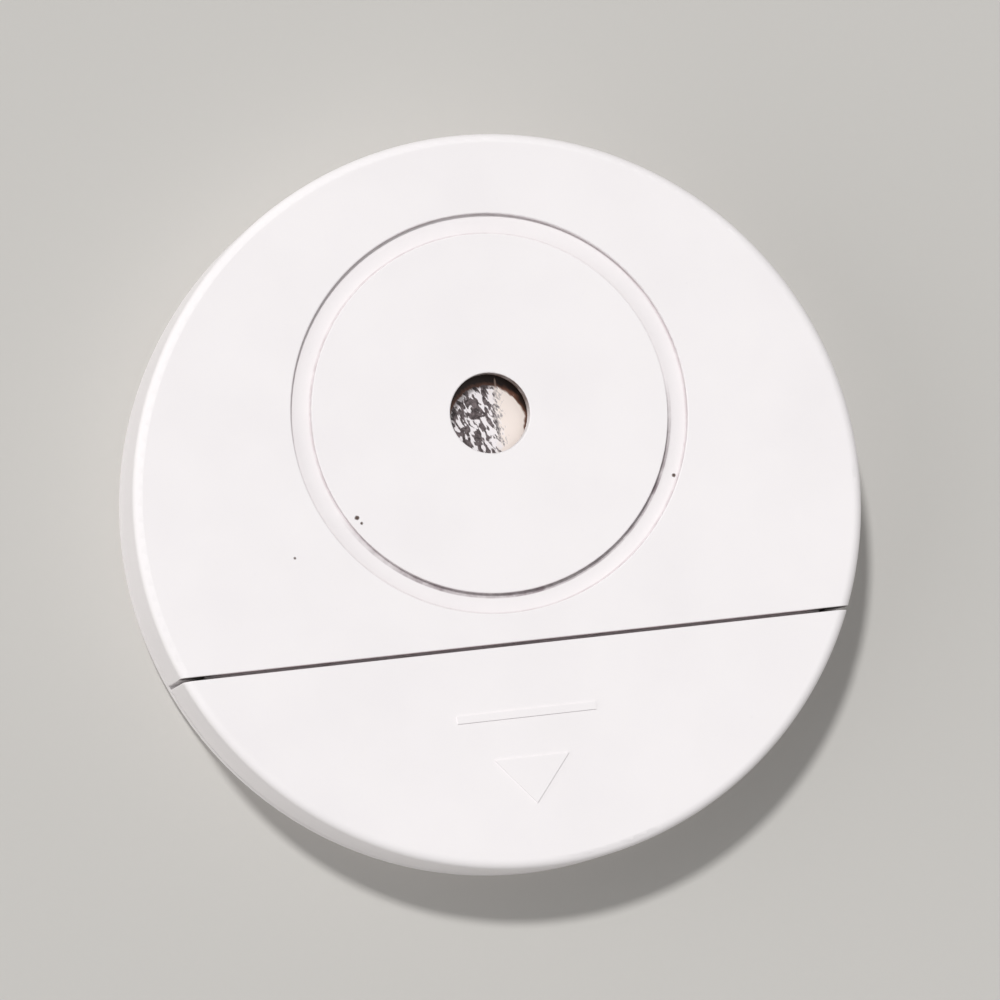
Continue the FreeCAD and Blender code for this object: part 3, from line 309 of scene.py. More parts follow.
def casePlastic(name, specks=(), paintedLift=1.0, topHeight=None, layers=()):
    look = caseLook
    finish = Finish(name, Specular_IOR_Level=look["specular"])
    spot = finish.place()
    cloud = finish.span(finish.noise(spot, look["cloudSize"], 3.0), *look["cloudSpan"])
    # the cloud tone is scaled up on the housing, as painted light
    colour = finish.mix(cloud, look["colour"], tuple(part * paintedLift for part in look["cloud"]))
    dust = finish.noise(spot, look["dustSize"], 2.0, 0.6)
    colour = finish.mix(finish.span(dust, *look["dustSpan"], 0.0, look["dustShare"]), colour, look["dust"])
    for x, y, size in specks:
        ragged = finish.times(finish.noise(spot, look["speckRagged"]), look["speckRagged"])
        away = finish.plus(finish.far(finish.flat(spot), (x, y, 0)), ragged)
        colour = finish.mix(finish.span(away, size + look["speckSoft"], size), colour, look["speckColour"])
    if topHeight:
        colour = paintedRecessShade(finish, spot, colour, topHeight, layers)
    rough = finish.spread(finish.noise(spot, look["roughSize"], 3.0), *look["roughness"])
    finish.put(Base_Color=colour, Roughness=rough)
    waves = finish.bump(finish.noise(spot, look["waveSize"], 1.0), look["waveDepth"])
    grain = finish.noise(spot, look["grainSize"], 3.0, 0.65)
    finish.put(Normal=finish.bump(grain, look["grainDepth"], waves))
    return finish.material


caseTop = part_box("front_cover")[1].z / mm
# Painted shade layers: each is a mask and the key of its tint
onSeam = [(seamWalls, "seamShade")]
onFace = onSeam + [(ringWalls, "ringShade"), (paintedRingShadow, "ringShadow"), (holeWall, "holeShade")]
coverPlastic = casePlastic("coverPlastic", caseLook["specks"], topHeight=caseTop, layers=onFace)
dress(coverPlastic, "front_cover")
dress(casePlastic("doorPlastic", topHeight=caseTop, layers=onSeam), "battery_door")
dress(casePlastic("housingPlastic", paintedLift=caseLook["backPaintedLift"]), "rear_housing")
print("case dressed")


# Sounder's plate: scratched metal with dark patches that are part oxide and part painted reflection, brighter
# and warmer towards +X, with a painted shadow at its edge and a painted gleam
sounderLook = {
    "metallic": 0.2,
    "roughness": 0.42,
    # bright and warm metal, with dark and grey patches that are part oxide and part painted reflection
    "bright": (0.97, 0.92, 0.94),
    "warm": (0.97, 0.87, 0.81),
    "dark": (0.045, 0.033, 0.034),
    "grey": (0.22, 0.18, 0.185),
    "greySize": 0.28,
    "greySpan": (0.35, 0.7),
    "darkShare": (0.5, 0.56),
    "patchTurn": -66.5,
    "patchSize": (0.95, 0.4),
    "fleckFiner": 2.5,
    "fleckShare": 0.07,
    "clearSpan": (0.55, 1.5),
    "clearRagged": 2.6,
    # painted shadow of the hole's rim on the plate: a dark brown crescent
    "paintedShadow": (0.02, 0.008, 0.005),
    "paintedShadowEdge": (0.16, 0.07, 0.045),
    "paintedShadowPlace": (0.05, -0.65, 0),
    "paintedShadowFrom": 3.33,
    "paintedShadowSoft": 0.15,
    "paintedShadowFade": 0.3,
    "paintedShadowRagged": 0.5,
    # painted gleam: a warm spot, lighter than the painted shadow round it
    "gleam": (0.5, 0.36, 0.3),
    "gleamPlace": (1.16, 2.7),
    "gleamSize": (0.1, 0.55),
    "gleamCore": 0.6,
    "scratches": (0.2, 9),
    "scratchDepth": 0.012,
}


def sounderPlate():
    look, middle = sounderLook, middleOf("sounder_disc")
    finish = Finish("sounderPlate", Metallic=look["metallic"], Roughness=look["roughness"])
    flat = finish.place(middle)
    along = finish.place(middle, math.radians(look["patchTurn"]))
    long, wide = look["patchSize"]
    finer = look["fleckFiner"]
    # dark patches: part oxide, part painted reflection; the plate is brighter and warmer towards +X
    patches = finish.noise(finish.stretch(along, 1 / long, 1 / wide, 1), 1.0, 1.0, 0.5, 0.4)
    flecks = finish.noise(finish.stretch(along, finer / long, finer / wide, 1), 1.0, 2.0, 0.6)
    tarnishAndReflection = finish.plus(patches, finish.spread(flecks, -look["fleckShare"], look["fleckShare"]))
    ragged = finish.times(finish.minus(flecks, 0.5), look["clearRagged"])
    clear = finish.span(finish.plus(finish.split(flat)["X"], ragged), *look["clearSpan"])
    brightShare = finish.plus(finish.span(tarnishAndReflection, *look["darkShare"]), clear)
    metal = finish.mix(clear, look["bright"], look["warm"])
    greyed = finish.span(finish.noise(along, look["greySize"], 2.0), *look["greySpan"])
    tarnishAndReflectionColour = finish.mix(greyed, look["dark"], look["grey"])
    colour = finish.mix(finish.span(brightShare, 0.0, 1.0), tarnishAndReflectionColour, metal)
    # painted shadow: a dark brown crescent at the plate's edge, under the hole's rim
    ripple = finish.times(finish.minus(patches, 0.5), look["paintedShadowRagged"])
    away = finish.plus(finish.far(flat, look["paintedShadowPlace"]), ripple)
    start = look["paintedShadowFrom"]
    colour = finish.mix(finish.span(away, start - look["paintedShadowSoft"], start), colour, look["paintedShadowEdge"])
    colour = finish.mix(finish.span(away, start, start + look["paintedShadowFade"]), colour, look["paintedShadow"])
    # painted gleam inside the painted shadow
    wide, long = look["gleamSize"]
    x, y = look["gleamPlace"]
    gleam = finish.far(finish.stretch(flat, long / wide, 1, 0), (x * long / wide, y, 0))
    colour = finish.mix(finish.span(gleam, long, long * look["gleamCore"]), colour, look["gleam"])
    x, y = look["scratches"]
    scratches = finish.noise(finish.stretch(along, x, y, 1), 1.0, 2.0)
    finish.put(Base_Color=colour, Normal=finish.bump(scratches, look["scratchDepth"]))
    return finish.material


# Fired silver on the ceramic's back, inside a bare rim
silverLook = {
    "dark": (0.62, 0.6, 0.55),
    "pale": (0.8, 0.78, 0.72),
    "bare": (0.72, 0.66, 0.5),
    "bareFrom": (9.05, 9.15),
    "grain": (0.8, 4.0, 0.6),
    "metallic": 0.5,
    "roughness": 0.5,
    "depth": 0.01,
}


def ceramicBack():
    look = silverLook
    finish = Finish("firedSilver", Roughness=look["roughness"])
    spot = finish.place(middleOf("sounder_ceramic"))
    fired = finish.noise(spot, *look["grain"])
    rim = finish.span(finish.radius(spot), *look["bareFrom"])
    silver = finish.mix(fired, look["dark"], look["pale"])
    finish.put(Base_Color=finish.mix(rim, silver, look["bare"]))
    finish.put(Metallic=finish.span(rim, 0, 1, look["metallic"], 0.0))
    finish.put(Normal=finish.bump(fired, look["depth"]))
    return finish.material


tapeLook = {"grain": (0.25, 4.0, 0.7), "colour": (0.66, 0.6, 0.46), "pale": (0.82, 0.78, 0.66), "depth": 0.02,
            "matt": 0.8}
foamLook = {
    "dark": (0.74, 0.73, 0.705),
    "grey": (0.76, 0.75, 0.725),
    "pale": (0.83, 0.82, 0.8),
    "cloudSize": 5.0,
    "poreSize": 0.3,
    "poreSpan": (0.25, 0.7),
    "poreDepth": 0.05,
    "roughness": 0.85,
}


def foamPad():
    look = foamLook
    finish = Finish("foamPad", Roughness=look["roughness"])
    spot = finish.place()
    feeds = {"Vector": spot, "Scale": 1 / look["poreSize"]}
    pores = finish.add("ShaderNodeTexVoronoi", feeds, feature="SMOOTH_F1").outputs[0]
    cloud = finish.mix(finish.noise(spot, look["cloudSize"], 3.0), look["pale"], look["grey"])
    finish.put(Base_Color=finish.mix(finish.span(pores, *look["poreSpan"]), look["dark"], cloud))
    finish.put(Normal=finish.bump(pores, look["poreDepth"]))
    return finish.material


dress(sounderPlate(), "sounder_disc")
dress(ceramicBack(), "sounder_ceramic")
dress(grained("tapePaper", tapeLook, Roughness=tapeLook["matt"]), "sounder_tape_ring")
dress(foamPad(), "adhesive_pad")
print("sounder and pad dressed")


# Metals. Streaks run along the piece's own length, or round it where it was turned.
metalLook = {
    "contact": {"colour": (0.74, 0.72, 0.68), "dull": (0.55, 0.53, 0.5), "roughness": (0.18, 0.36)},
    "zinc": {"colour": (0.66, 0.67, 0.69), "dull": (0.5, 0.5, 0.47), "roughness": (0.28, 0.45)},
    "nickel": {"colour": (0.75, 0.74, 0.72), "dull": (0.62, 0.6, 0.57), "roughness": (0.22, 0.3)},
    "tin": {"colour": (0.72, 0.73, 0.74), "dull": (0.48, 0.48, 0.49), "roughness": (0.2, 0.5)},
}
rolledLook = {"along": 0.4, "across": 9, "streakDepth": 0.004, "patches": (2.2, 3.0, 0.6)}
turnedLook = {"ringPace": 42.0, "ringDepth": 0.004, "patches": (0.6, 4.0, 0.65)}
solderLook = {
    "colour": metalLook["tin"]["colour"],
    "pale": metalLook["tin"]["dull"],
    "roughness": metalLook["tin"]["roughness"],
    "grain": (0.3, 3.0, 0.6),
    "depth": 0.03,
}


def rolledMetal(name, kind, alongX):
    metal, look = metalLook[kind], rolledLook
    finish = Finish(name, Metallic=1.0)
    spot = finish.place()
    along, across = look["along"], look["across"]
    lines = finish.stretch(spot, *((along, across, across) if alongX else (across, along, across)))
    rolled = finish.noise(lines, 1.0, 3.0, 0.6)
    patches = finish.noise(spot, *look["patches"])
    finish.put(Base_Color=finish.mix(patches, metal["colour"], metal["dull"]))
    finish.put(Roughness=finish.spread(rolled, *metal["roughness"]))
    finish.put(Normal=finish.bump(rolled, look["streakDepth"]))
    return finish.material


def turnedSpots(finish, centres):  # distance from the nearest of several upright axes
    spot = finish.flat(finish.place())
    nearest = None
    for centre in centres:
        away = finish.far(spot, (centre.x / mm, centre.y / mm, 0))
        nearest = finish.sums("MINIMUM", nearest, away) if nearest else away
    return nearest


def islandCentres(node):  # middles of a node's separate solids
    apart, centres = 4 * mm, []
    for vertex in nodes[node].data.vertices:
        spot = Vector((vertex.co.x, vertex.co.y, 0))
        group = next((found for found in centres if (found[0] - spot).length < apart), None)
        if group is None:
            centres.append([spot, spot.copy(), spot.copy()])
        else:
            group[1] = Vector(map(min, group[1], spot))
            group[2] = Vector(map(max, group[2], spot))
    return [(low + high) / 2 for _, low, high in centres]


def screwZinc(name, centres):
    metal, look = metalLook["zinc"], turnedLook
    finish = Finish(name, Metallic=1.0)
    rings = finish.sine(turnedSpots(finish, centres), look["ringPace"])
    patches = finish.noise(finish.place(), *look["patches"])
    finish.put(Base_Color=finish.mix(patches, metal["colour"], metal["dull"]))
    finish.put(Roughness=finish.spread(patches, *metal["roughness"]))
    finish.put(Normal=finish.bump(rings, look["ringDepth"]))
    return finish.material


# Button cells: nickel can with a plus pressed into its flat side and a seal round its cap
cellLook = {
    "turns": {"cell_1": -17, "cell_2": 24, "cell_3": -17},
    "capAbove": ("cell_2",),
    "sealRadius": (4.88, 5.3),
    "sealBelow": (0.45, 0.8),
    "sealColour": (0.06, 0.1, 0.16),
    "plusLong": 1.5,
    "plusWide": 0.26,
    "plusSoft": 0.08,
    "plusBelow": (0.1, 0.05),
    "plusDepth": 0.06,
    "brushing": 14,
    "brushDepth": 0.0025,
    "scuffs": (3.5, 3.0, 0.5),
    "scuffSpan": (0.35, 0.75),
    "scuffShare": 0.6,
}


def pressedPlus(finish, part, half):  # 1 in the plus on the can's flat side
    look, arms = cellLook, []
    soft = look["plusSoft"]
    for long, wide in (("X", "Y"), ("Y", "X")):
        within = finish.span(finish.size(part[long]), look["plusLong"], look["plusLong"] - soft)
        beside = finish.span(finish.size(part[wide]), look["plusWide"], look["plusWide"] - soft)
        arms.append(finish.times(within, beside))
    start, full = look["plusBelow"]
    return finish.times(finish.sums("MAXIMUM", *arms), finish.span(part["Z"], half - start, half - full))


def cellNickel(name):
    look, metal, capAbove = cellLook, metalLook["nickel"], name in cellLook["capAbove"]
    low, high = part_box(name)
    finish = Finish(f"{name}Nickel", Metallic=1.0)
    spot = finish.place((low + high) / 2, math.radians(look["turns"][name]))
    part, away = finish.split(spot), finish.radius(spot)
    half = (high.z - low.z) / 2 / mm
    outward = finish.add("ShaderNodeCombineXYZ", {0: away}).outputs[0]
    rings = finish.noise(finish.stretch(outward, look["brushing"], 1, 1), 1.0, 2.0)
    scuffs = finish.noise(spot, *look["scuffs"])
    worn = finish.span(scuffs, *look["scuffSpan"], 0.0, look["scuffShare"])
    colour = finish.mix(worn, metal["colour"], metal["dull"])
    near, far = look["sealBelow"]
    ledge = (half - far, half - near) if capAbove else (near - half, far - half)
    seal = finish.times(finish.band(away, *look["sealRadius"]), finish.band(part["Z"], *ledge))
    finish.put(Base_Color=finish.mix(seal, colour, look["sealColour"]))
    finish.put(Metallic=finish.span(seal, 0, 1, 1, 0), Roughness=finish.spread(scuffs, *metal["roughness"]))
    surface = finish.bump(rings, look["brushDepth"])
    if not capAbove:
        surface = finish.bump(finish.minus(1.0, pressedPlus(finish, part, half)), look["plusDepth"], surface)
    finish.put(Normal=surface)
    return finish.material


dress(rolledMetal("contactAlongY", "contact", False), "contact_minus", "contact_plus")
dress(rolledMetal("contactAlongX", "contact", True), "cell_link", "door_link")
dress(screwZinc("caseScrewZinc", islandCentres("housing_screws")), "housing_screws")
dress(screwZinc("boardScrewZinc", islandCentres("board_screws")), "board_screws")
solder = grained("solderTin", solderLook, Metallic=1.0)
dress(solder, "solder_red_board", "solder_red_sounder", "solder_black_board", "solder_black_sounder")
for cell in cellLook["turns"]:
    dress(cellNickel(cell), cell)
print("metal pieces dressed")


# Circuit board: traces in two directions under green lacquer, over woven glass
boardLook = {
    "mask": (0.018, 0.16, 0.055),
    "trace": (0.04, 0.27, 0.1),
    "tracePitch": 0.9,
    "traceSpan": (0.1, 0.4),
    "traceDepth": 0.03,
    "regionSize": 4.5,
    "regions": {"X": (0.5, 0.51), "Y": (0.45, 0.44)},
    "glass": (0.5, 0.46, 0.26),
    "glassPale": (0.36, 0.34, 0.17),
    "glassSize": 0.7,
    "glassLayers": 14,
    "edgeFacing": (0.6, 0.5),
    "roughness": 0.28,
    "coat": 0.3,
}


def boardLacquer():
    look, traces = boardLook, []
    finish = Finish("boardLacquer", Roughness=look["roughness"], Coat_Weight=look["coat"])
    spot = finish.place()
    part = finish.split(spot)
    region = finish.noise(spot, look["regionSize"], 0.0)
    for way, zone in look["regions"].items():
        across = finish.span(finish.sine(part[way], 2 * math.pi / look["tracePitch"]), *look["traceSpan"])
        traces.append(finish.times(across, finish.span(region, *zone)))
    lines = finish.plus(*traces)
    colour = finish.mix(lines, look["mask"], look["trace"])
    upright = finish.split(finish.add("ShaderNodeNewGeometry", {}).outputs["Normal"])["Z"]
    edge = finish.span(finish.size(upright), *look["edgeFacing"])
    layers = finish.noise(finish.stretch(spot, 1, 1, look["glassLayers"]), look["glassSize"], 3.0)
    finish.put(Base_Color=finish.mix(edge, colour, finish.mix(layers, look["glass"], look["glassPale"])))
    finish.put(Normal=finish.bump(lines, look["traceDepth"]))
    return finish.material


# Pieces of one grained stuff
stuffLook = {
    "pottedChip": {
        "colour": (0.006, 0.006, 0.006), "pale": (0.02, 0.02, 0.02), "roughness": (0.1, 0.2),
        "grain": (0.12, 3.0, 0.7), "depth": 0.03,
    },
    "ferrite": {
        "colour": (0.035, 0.035, 0.038), "pale": (0.09, 0.09, 0.09), "roughness": (0.5, 0.7),
        "grain": (0.12, 3.0, 0.7), "depth": 0.02,
    },
    "capacitorClay": {
        "colour": (0.42, 0.28, 0.16), "pale": (0.55, 0.4, 0.26), "roughness": (0.35, 0.5),
        "grain": (0.12, 3.0, 0.7), "depth": 0.006,
    },
    "knobPlastic": {
        "colour": (0.016, 0.016, 0.018), "pale": (0.035, 0.035, 0.037), "roughness": (0.4, 0.55),
        "grain": (0.12, 3.0, 0.7), "depth": 0.008,
    },
}

# Resistors: white ceramic with a black printed top
resistorLook = {
    "ceramic": ((0.8, 0.79, 0.75), (0.7, 0.68, 0.63)),
    "ceramicSize": 0.15,
    "print": ((0.015, 0.015, 0.015), (0.04, 0.04, 0.04)),
    "printSize": 0.1,
    "printWide": (0.74, 0.7),
    "printBelow": (0.06, 0.03),
    "printDepth": 0.03,
    "roughness": 0.4,
}


def resistorChip(name):
    look = resistorLook
    finish = Finish(f"{name}Chip", Roughness=look["roughness"])
    low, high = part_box(name)
    spot = finish.place((low + high) / 2)
    part = finish.split(spot)
    half = (high.z - low.z) / 2 / mm
    inside = finish.span(finish.size(part["Y"]), *look["printWide"])
    start, full = look["printBelow"]
    printed = finish.times(inside, finish.span(part["Z"], half - start, half - full))
    chalk = finish.mix(finish.noise(spot, look["ceramicSize"]), *look["ceramic"])
    black = finish.mix(finish.noise(spot, look["printSize"], 3.0), *look["print"])
    finish.put(Base_Color=finish.mix(printed, chalk, black))
    finish.put(Normal=finish.bump(printed, look["printDepth"]))
    return finish.material


# Transistor: black moulded case on three tinned legs
transistorLook = {
    "case": ((0.018, 0.018, 0.018), (0.045, 0.045, 0.045)),
    "legs": ((0.74, 0.74, 0.74), (0.58, 0.58, 0.58)),
    "legsFrom": (-0.79, -0.81),
    "grainSize": 0.12,
    "grainDepth": 0.006,
    "roughness": (0.35, 0.6),
}


def transistorBody():
    look = transistorLook
    finish = Finish("transistorBody")
    low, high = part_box("transistor")
    spot = finish.place((low + high) / 2)
    legs = finish.span(finish.split(spot)["Y"], *look["legsFrom"])
    grain = finish.noise(spot, look["grainSize"], 3.0)
    case = finish.mix(grain, *look["case"])
    finish.put(Base_Color=finish.mix(legs, case, finish.mix(grain, *look["legs"])), Metallic=legs)
    finish.put(Roughness=finish.spread(grain, *look["roughness"]))
    finish.put(Normal=finish.bump(grain, look["grainDepth"]))
    return finish.material


# Cans that lie along the board's rim: their long side is square to the way from the board's middle
canLook = {
    "electrolytic_capacitor": {
        "half": 3.5, "radius": 2.0, "fromMiddle": 25.0, "angle": 147.987, "leads": (1,),
        "sleeve": (0.012, 0.02, 0.07), "bare": (0.72, 0.73, 0.74),
    },
    "shock_sensor": {
        "half": 5.0, "radius": 2.1, "fromMiddle": 24.9, "angle": 34.013, "leads": (-1, 1),
        "sleeve": (0.8, 0.6, 0.27), "bare": (0.7, 0.7, 0.68),
    },
}
# What the cans have in common, and the capacitor's pale stripe with its row of minus marks
skinLook = {
    "coverEnd": (0.05, 0.12),
    "coverRim": (0.35, 0.3),
    "brush": (0.5, 8),
    "brushDepth": 0.006,
    "bareShade": 0.75,
    "sleeveShade": 0.7,
    "roughness": 0.26,
    "stripe": (0.6, 0.62, 0.66),
    "stripeFrom": (-1.5, -0.4),
    "dashFrom": (-1.15, -0.8),
    "dashPace": 4.2,
    "dashSpan": (0.2, 0.3),
}


def shade(colour, share):
    return tuple(share * part for part in colour)


def canFinish(name, centre, turn, sleeved):
    can, look = canLook[name], skinLook
    finish = Finish(f"{name}Can", Roughness=look["roughness"])
    spot = finish.place(centre, turn)
    part = finish.split(spot)
    start, full = look["coverRim"]
    away = finish.far(finish.stretch(spot, 0, 1, 1))
    outside = finish.span(away, can["radius"] - start, can["radius"] - full)
    start, full = look["coverEnd"]
    inside = finish.span(finish.size(part["X"]), can["half"] - start, can["half"] - full)
    cover = finish.times(inside, outside)
    along, across = look["brush"]
    brush = finish.noise(finish.stretch(spot, along, across, across), 1.0, 3.0)
    bare = finish.mix(brush, can["bare"], shade(can["bare"], look["bareShade"]))
    if sleeved:
        stripe = finish.band(part["Y"], *look["stripeFrom"])
        dashes = finish.span(finish.sine(part["X"], look["dashPace"]), *look["dashSpan"])
        dashes = finish.times(dashes, finish.band(part["Y"], *look["dashFrom"]))
        skin = finish.mix(stripe, can["sleeve"], look["stripe"])
        skin = finish.mix(dashes, skin, can["sleeve"])
        finish.put(Metallic=finish.span(cover, 0, 1, 1, 0))
    else:
        skin = finish.mix(brush, can["sleeve"], shade(can["sleeve"], look["sleeveShade"]))
        finish.put(Metallic=1.0)
    finish.put(Base_Color=finish.mix(cover, bare, skin), Normal=finish.bump(brush, look["brushDepth"]))
    return finish.material


# Coil's enamelled winding and the two wires
windingLook = {
    "copper": ((0.72, 0.27, 0.09), (0.42, 0.12, 0.04)),
    "layers": 5,
    "layerSize": 0.8,
    "depth": 0.01,
    "metallic": 0.85,
    "roughness": 0.26,
    "coat": 0.4,
}
wireLook = {
    "red": ((0.56, 0.015, 0.01), (0.42, 0.02, 0.015)),
    "black": ((0.012, 0.012, 0.012), (0.03, 0.03, 0.03)),
    "cloudSize": 1.5,
    "dentSize": 0.4,
    "dentDepth": 0.02,
    "roughness": 0.33,
}


def copperWinding():
    look = windingLook
    values = {"Metallic": look["metallic"], "Roughness": look["roughness"], "Coat_Weight": look["coat"]}
    finish = Finish("copperWinding", **values)
    spot = finish.place(middleOf("boost_coil_winding"))
    varnish = finish.noise(finish.stretch(spot, 1, 1, look["layers"]), look["layerSize"], 3.0)
    finish.put(Base_Color=finish.mix(varnish, *look["copper"]), Normal=finish.bump(varnish, look["depth"]))
    return finish.material


def vinylWire(name, colours):
    look = wireLook
    finish = Finish(name, Roughness=look["roughness"])
    spot = finish.place()
    finish.put(Base_Color=finish.mix(finish.noise(spot, look["cloudSize"], 3.0), *colours))
    finish.put(Normal=finish.bump(finish.noise(spot, look["dentSize"], 2.0), look["dentDepth"]))
    return finish.material


# Switch: a folded tin case on a brown base
switchLook = {
    "turn": -8.487,
    "base": ((0.16, 0.07, 0.03), (0.24, 0.12, 0.05)),
    "baseTop": (0.57, 0.53),
    "baseSize": 0.3,
    "drawn": (0.5, 9),
    "drawnDepth": 0.006,
}


def switchTin(name, hasBase):
    look, tin = switchLook, metalLook["tin"]
    finish = Finish(name)
    low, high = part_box("switch_case")
    foot = ((low.x + high.x) / 2, (low.y + high.y) / 2, low.z)
    spot = finish.place(foot, math.radians(look["turn"]))
    across, up = look["drawn"]
    drawn = finish.noise(finish.stretch(spot, across, across, up), 1.0, 3.0)
    shell = finish.mix(drawn, tin["colour"], tin["dull"])
    if hasBase:
        base = finish.span(finish.split(spot)["Z"], *look["baseTop"])
        shell = finish.mix(base, shell, finish.mix(finish.noise(spot, look["baseSize"], 3.0), *look["base"]))
        finish.put(Metallic=finish.span(base, 0, 1, 1, 0))
    else:
        finish.put(Metallic=1.0)
    finish.put(Base_Color=shell, Roughness=finish.spread(drawn, *tin["roughness"]))
    finish.put(Normal=finish.bump(drawn, look["drawnDepth"]))
    return finish.material


dress(boardLacquer(), "circuit_board")
dress(grained("pottedChip", stuffLook["pottedChip"]), "chip_blob")
dress(grained("ferrite", stuffLook["ferrite"]), "boost_coil_core")
dress(grained("capacitorClay", stuffLook["capacitorClay"]), "ceramic_capacitor_1", "ceramic_capacitor_2")
for chip in ("resistor_1", "resistor_2", "resistor_3"):
    dress(resistorChip(chip), chip)
dress(transistorBody(), "transistor")
copper = copperWinding()
dress(copper, "boost_coil_winding")
dress(vinylWire("redVinyl", wireLook["red"]), "sounder_wire_red")
dress(vinylWire("blackVinyl", wireLook["black"]), "sounder_wire_black")
dress(switchTin("switchTin", True), "switch_case")
dress(switchTin("pinTin", False), "switch_pin_1", "switch_pin_2", "switch_pin_3")
dress(grained("knobPlastic", stuffLook["knobPlastic"]), "switch_knob")
boardLow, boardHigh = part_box("circuit_board")
for can, look in canLook.items():
    along, reach = math.radians(look["angle"]), look["fromMiddle"] * mm
    axis = (reach * math.cos(along), reach * math.sin(along), boardHigh.z + look["radius"] * mm)
    dress(canFinish(can, axis, along + math.pi / 2, can == "electrolytic_capacitor"), can)
print("board and switch dressed")


# Repeated small pieces, made with Geometry Nodes
class Tree(Nodes):
    def __init__(self, name, **sizes):
        super().__init__(bpy.data.node_groups.new(name, "GeometryNodeTree"))
        sockets = self.tree.interface
        sockets.new_socket("Geometry", in_out="INPUT", socket_type="NodeSocketGeometry")
        self.keys = {}
        for label, value in sizes.items():
            kind = "NodeSocketInt" if isinstance(value, int) else "NodeSocketFloat"
            socket = sockets.new_socket(label, in_out="INPUT", socket_type=kind)
            self.keys[label] = socket.identifier
        sockets.new_socket("Geometry", in_out="OUTPUT", socket_type="NodeSocketGeometry")
        self.sizes = sizes
        self.given = self.tree.nodes.new("NodeGroupInput").outputs

    def sweep(self, path, profile, caps=False):
        feeds = {"Curve": path, "Profile Curve": profile, "Fill Caps": caps}
        return self.add("GeometryNodeCurveToMesh", feeds).outputs[0]

    def loop(self, radius, steps):
        feeds = {"Radius": radius, "Resolution": steps}
        return self.add("GeometryNodeCurvePrimitiveCircle", feeds).outputs[0]

    def oblong(self, wide, tall):
        feeds = {"Width": wide, "Height": tall}
        return self.add("GeometryNodeCurvePrimitiveQuadrilateral", feeds).outputs[0]

    def helix(self, turns, radius, tall, steps):
        feeds = {"Resolution": steps, "Rotations": turns, "Start Radius": radius, "End Radius": radius,
                 "Height": tall}
        return self.add("GeometryNodeCurveSpiral", feeds).outputs[0]

    # Copies shape to every point, along the point's own up
    def finishWith(self, shape, material):
        up = self.add("GeometryNodeInputNamedAttribute", {"Name": "up"}, data_type="FLOAT_VECTOR").outputs[0]
        turn = self.add("FunctionNodeAlignRotationToVector", {"Vector": up}, axis="Z").outputs[0]
        feeds = {"Points": self.given["Geometry"], "Instance": shape, "Rotation": turn}
        copies = self.add("GeometryNodeInstanceOnPoints", feeds).outputs[0]
        real = self.add("GeometryNodeRealizeInstances", {0: copies}).outputs[0]
        ready = self.add("GeometryNodeSetMaterial", {"Geometry": real, "Material": material}).outputs[0]
        self.add("NodeGroupOutput", {0: ready})

    # Points are (place, up) in metres
    def make(self, name, points, body, slot):
        mesh = bpy.data.meshes.new(f"{name}Points")
        mesh.from_pydata([place for place, _ in points], [], [])
        ups = mesh.attributes.new("up", "FLOAT_VECTOR", "POINT")
        ups.data.foreach_set("vector", [part for _, up in points for part in up])
        base = bpy.data.objects.new(f"{name}Base", mesh)
        bpy.context.scene.collection.objects.link(base)
        modifier = base.modifiers.new("make", "NODES")
        modifier.node_group = self.tree
        for label, value in self.sizes.items():
            modifier[self.keys[label]] = value
        ready = base.evaluated_get(bpy.context.evaluated_depsgraph_get())
        piece = bpy.data.objects.new(name, bpy.data.meshes.new_from_object(ready))
        bpy.context.scene.collection.objects.link(piece)
        base.modifiers.remove(modifier)
        bpy.data.objects.remove(base)
        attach(piece, body)
        return piece


upward, downward = (0, 0, 1), (0, 0, -1)

# Turns of enamelled wire round the coil's core
coilSizes = {"Turns": 24, "Radius": 2.68 * mm, "Height": 2.7 * mm, "Wire": 0.055 * mm}
coilSteps = {"helix": 28, "wire": 6}
coilTree = Tree("coilTurns", **coilSizes)
given = coilTree.given
helix = coilTree.helix(given["Turns"], given["Radius"], given["Height"], coilSteps["helix"])
coilTree.finishWith(coilTree.sweep(helix, coilTree.loop(given["Wire"], coilSteps["wire"]), True), copper)
low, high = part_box("boost_coil_winding")
foot = ((low.x + high.x) / 2, (low.y + high.y) / 2, (low.z + high.z - coilSizes["Height"]) / 2)
coilTree.make("boost_coil_turns", [(foot, upward)], "housing", "copper_wire")

# Tinned ends of the chip parts: a rounded sleeve over each end
endLook = {
    "resistor_ends": {"chips": ("resistor_1", "resistor_2", "resistor_3"), "deep": 0.5},
    "capacitor_ends": {"chips": ("ceramic_capacitor_1", "ceramic_capacitor_2"), "deep": 0.6},
}
endSizes = {"proud": 0.02, "round": 0.12, "roundSteps": 3}
tinnedEnd = rolledMetal("tinnedEnd", "tin", True)


def chipEnds(name, chips, deep, proud):
    low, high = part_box(chips[0])
    wide, tall = high.y - low.y + 2 * proud, high.z - low.z + proud
    tree = Tree(name, Deep=deep, Wide=wide, Tall=tall, Round=endSizes["round"] * mm)
    given = tree.given
    feeds = {"Curve": tree.oblong(given["Wide"], given["Tall"]), "Count": endSizes["roundSteps"],
             "Radius": given["Round"]}
    rounded = tree.add("GeometryNodeFilletCurve", feeds, mode="POLY").outputs[0]
    ends = []
    for share in (-0.5, 0.5):
        ends.append(tree.add("ShaderNodeCombineXYZ", {0: tree.times(given["Deep"], share)}).outputs[0])
    line = tree.add("GeometryNodeCurvePrimitiveLine", {"Start": ends[0], "End": ends[1]}).outputs[0]
    tree.finishWith(tree.sweep(line, rounded, True), tinnedEnd)
    points = []
    for chip in chips:
        low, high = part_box(chip)
        for x in (low.x + deep / 2 - proud, high.x - deep / 2 + proud):
            points.append(((x, (low.y + high.y) / 2, (low.z + high.z + proud) / 2), upward))
    return tree.make(name, points, "housing", "solder")


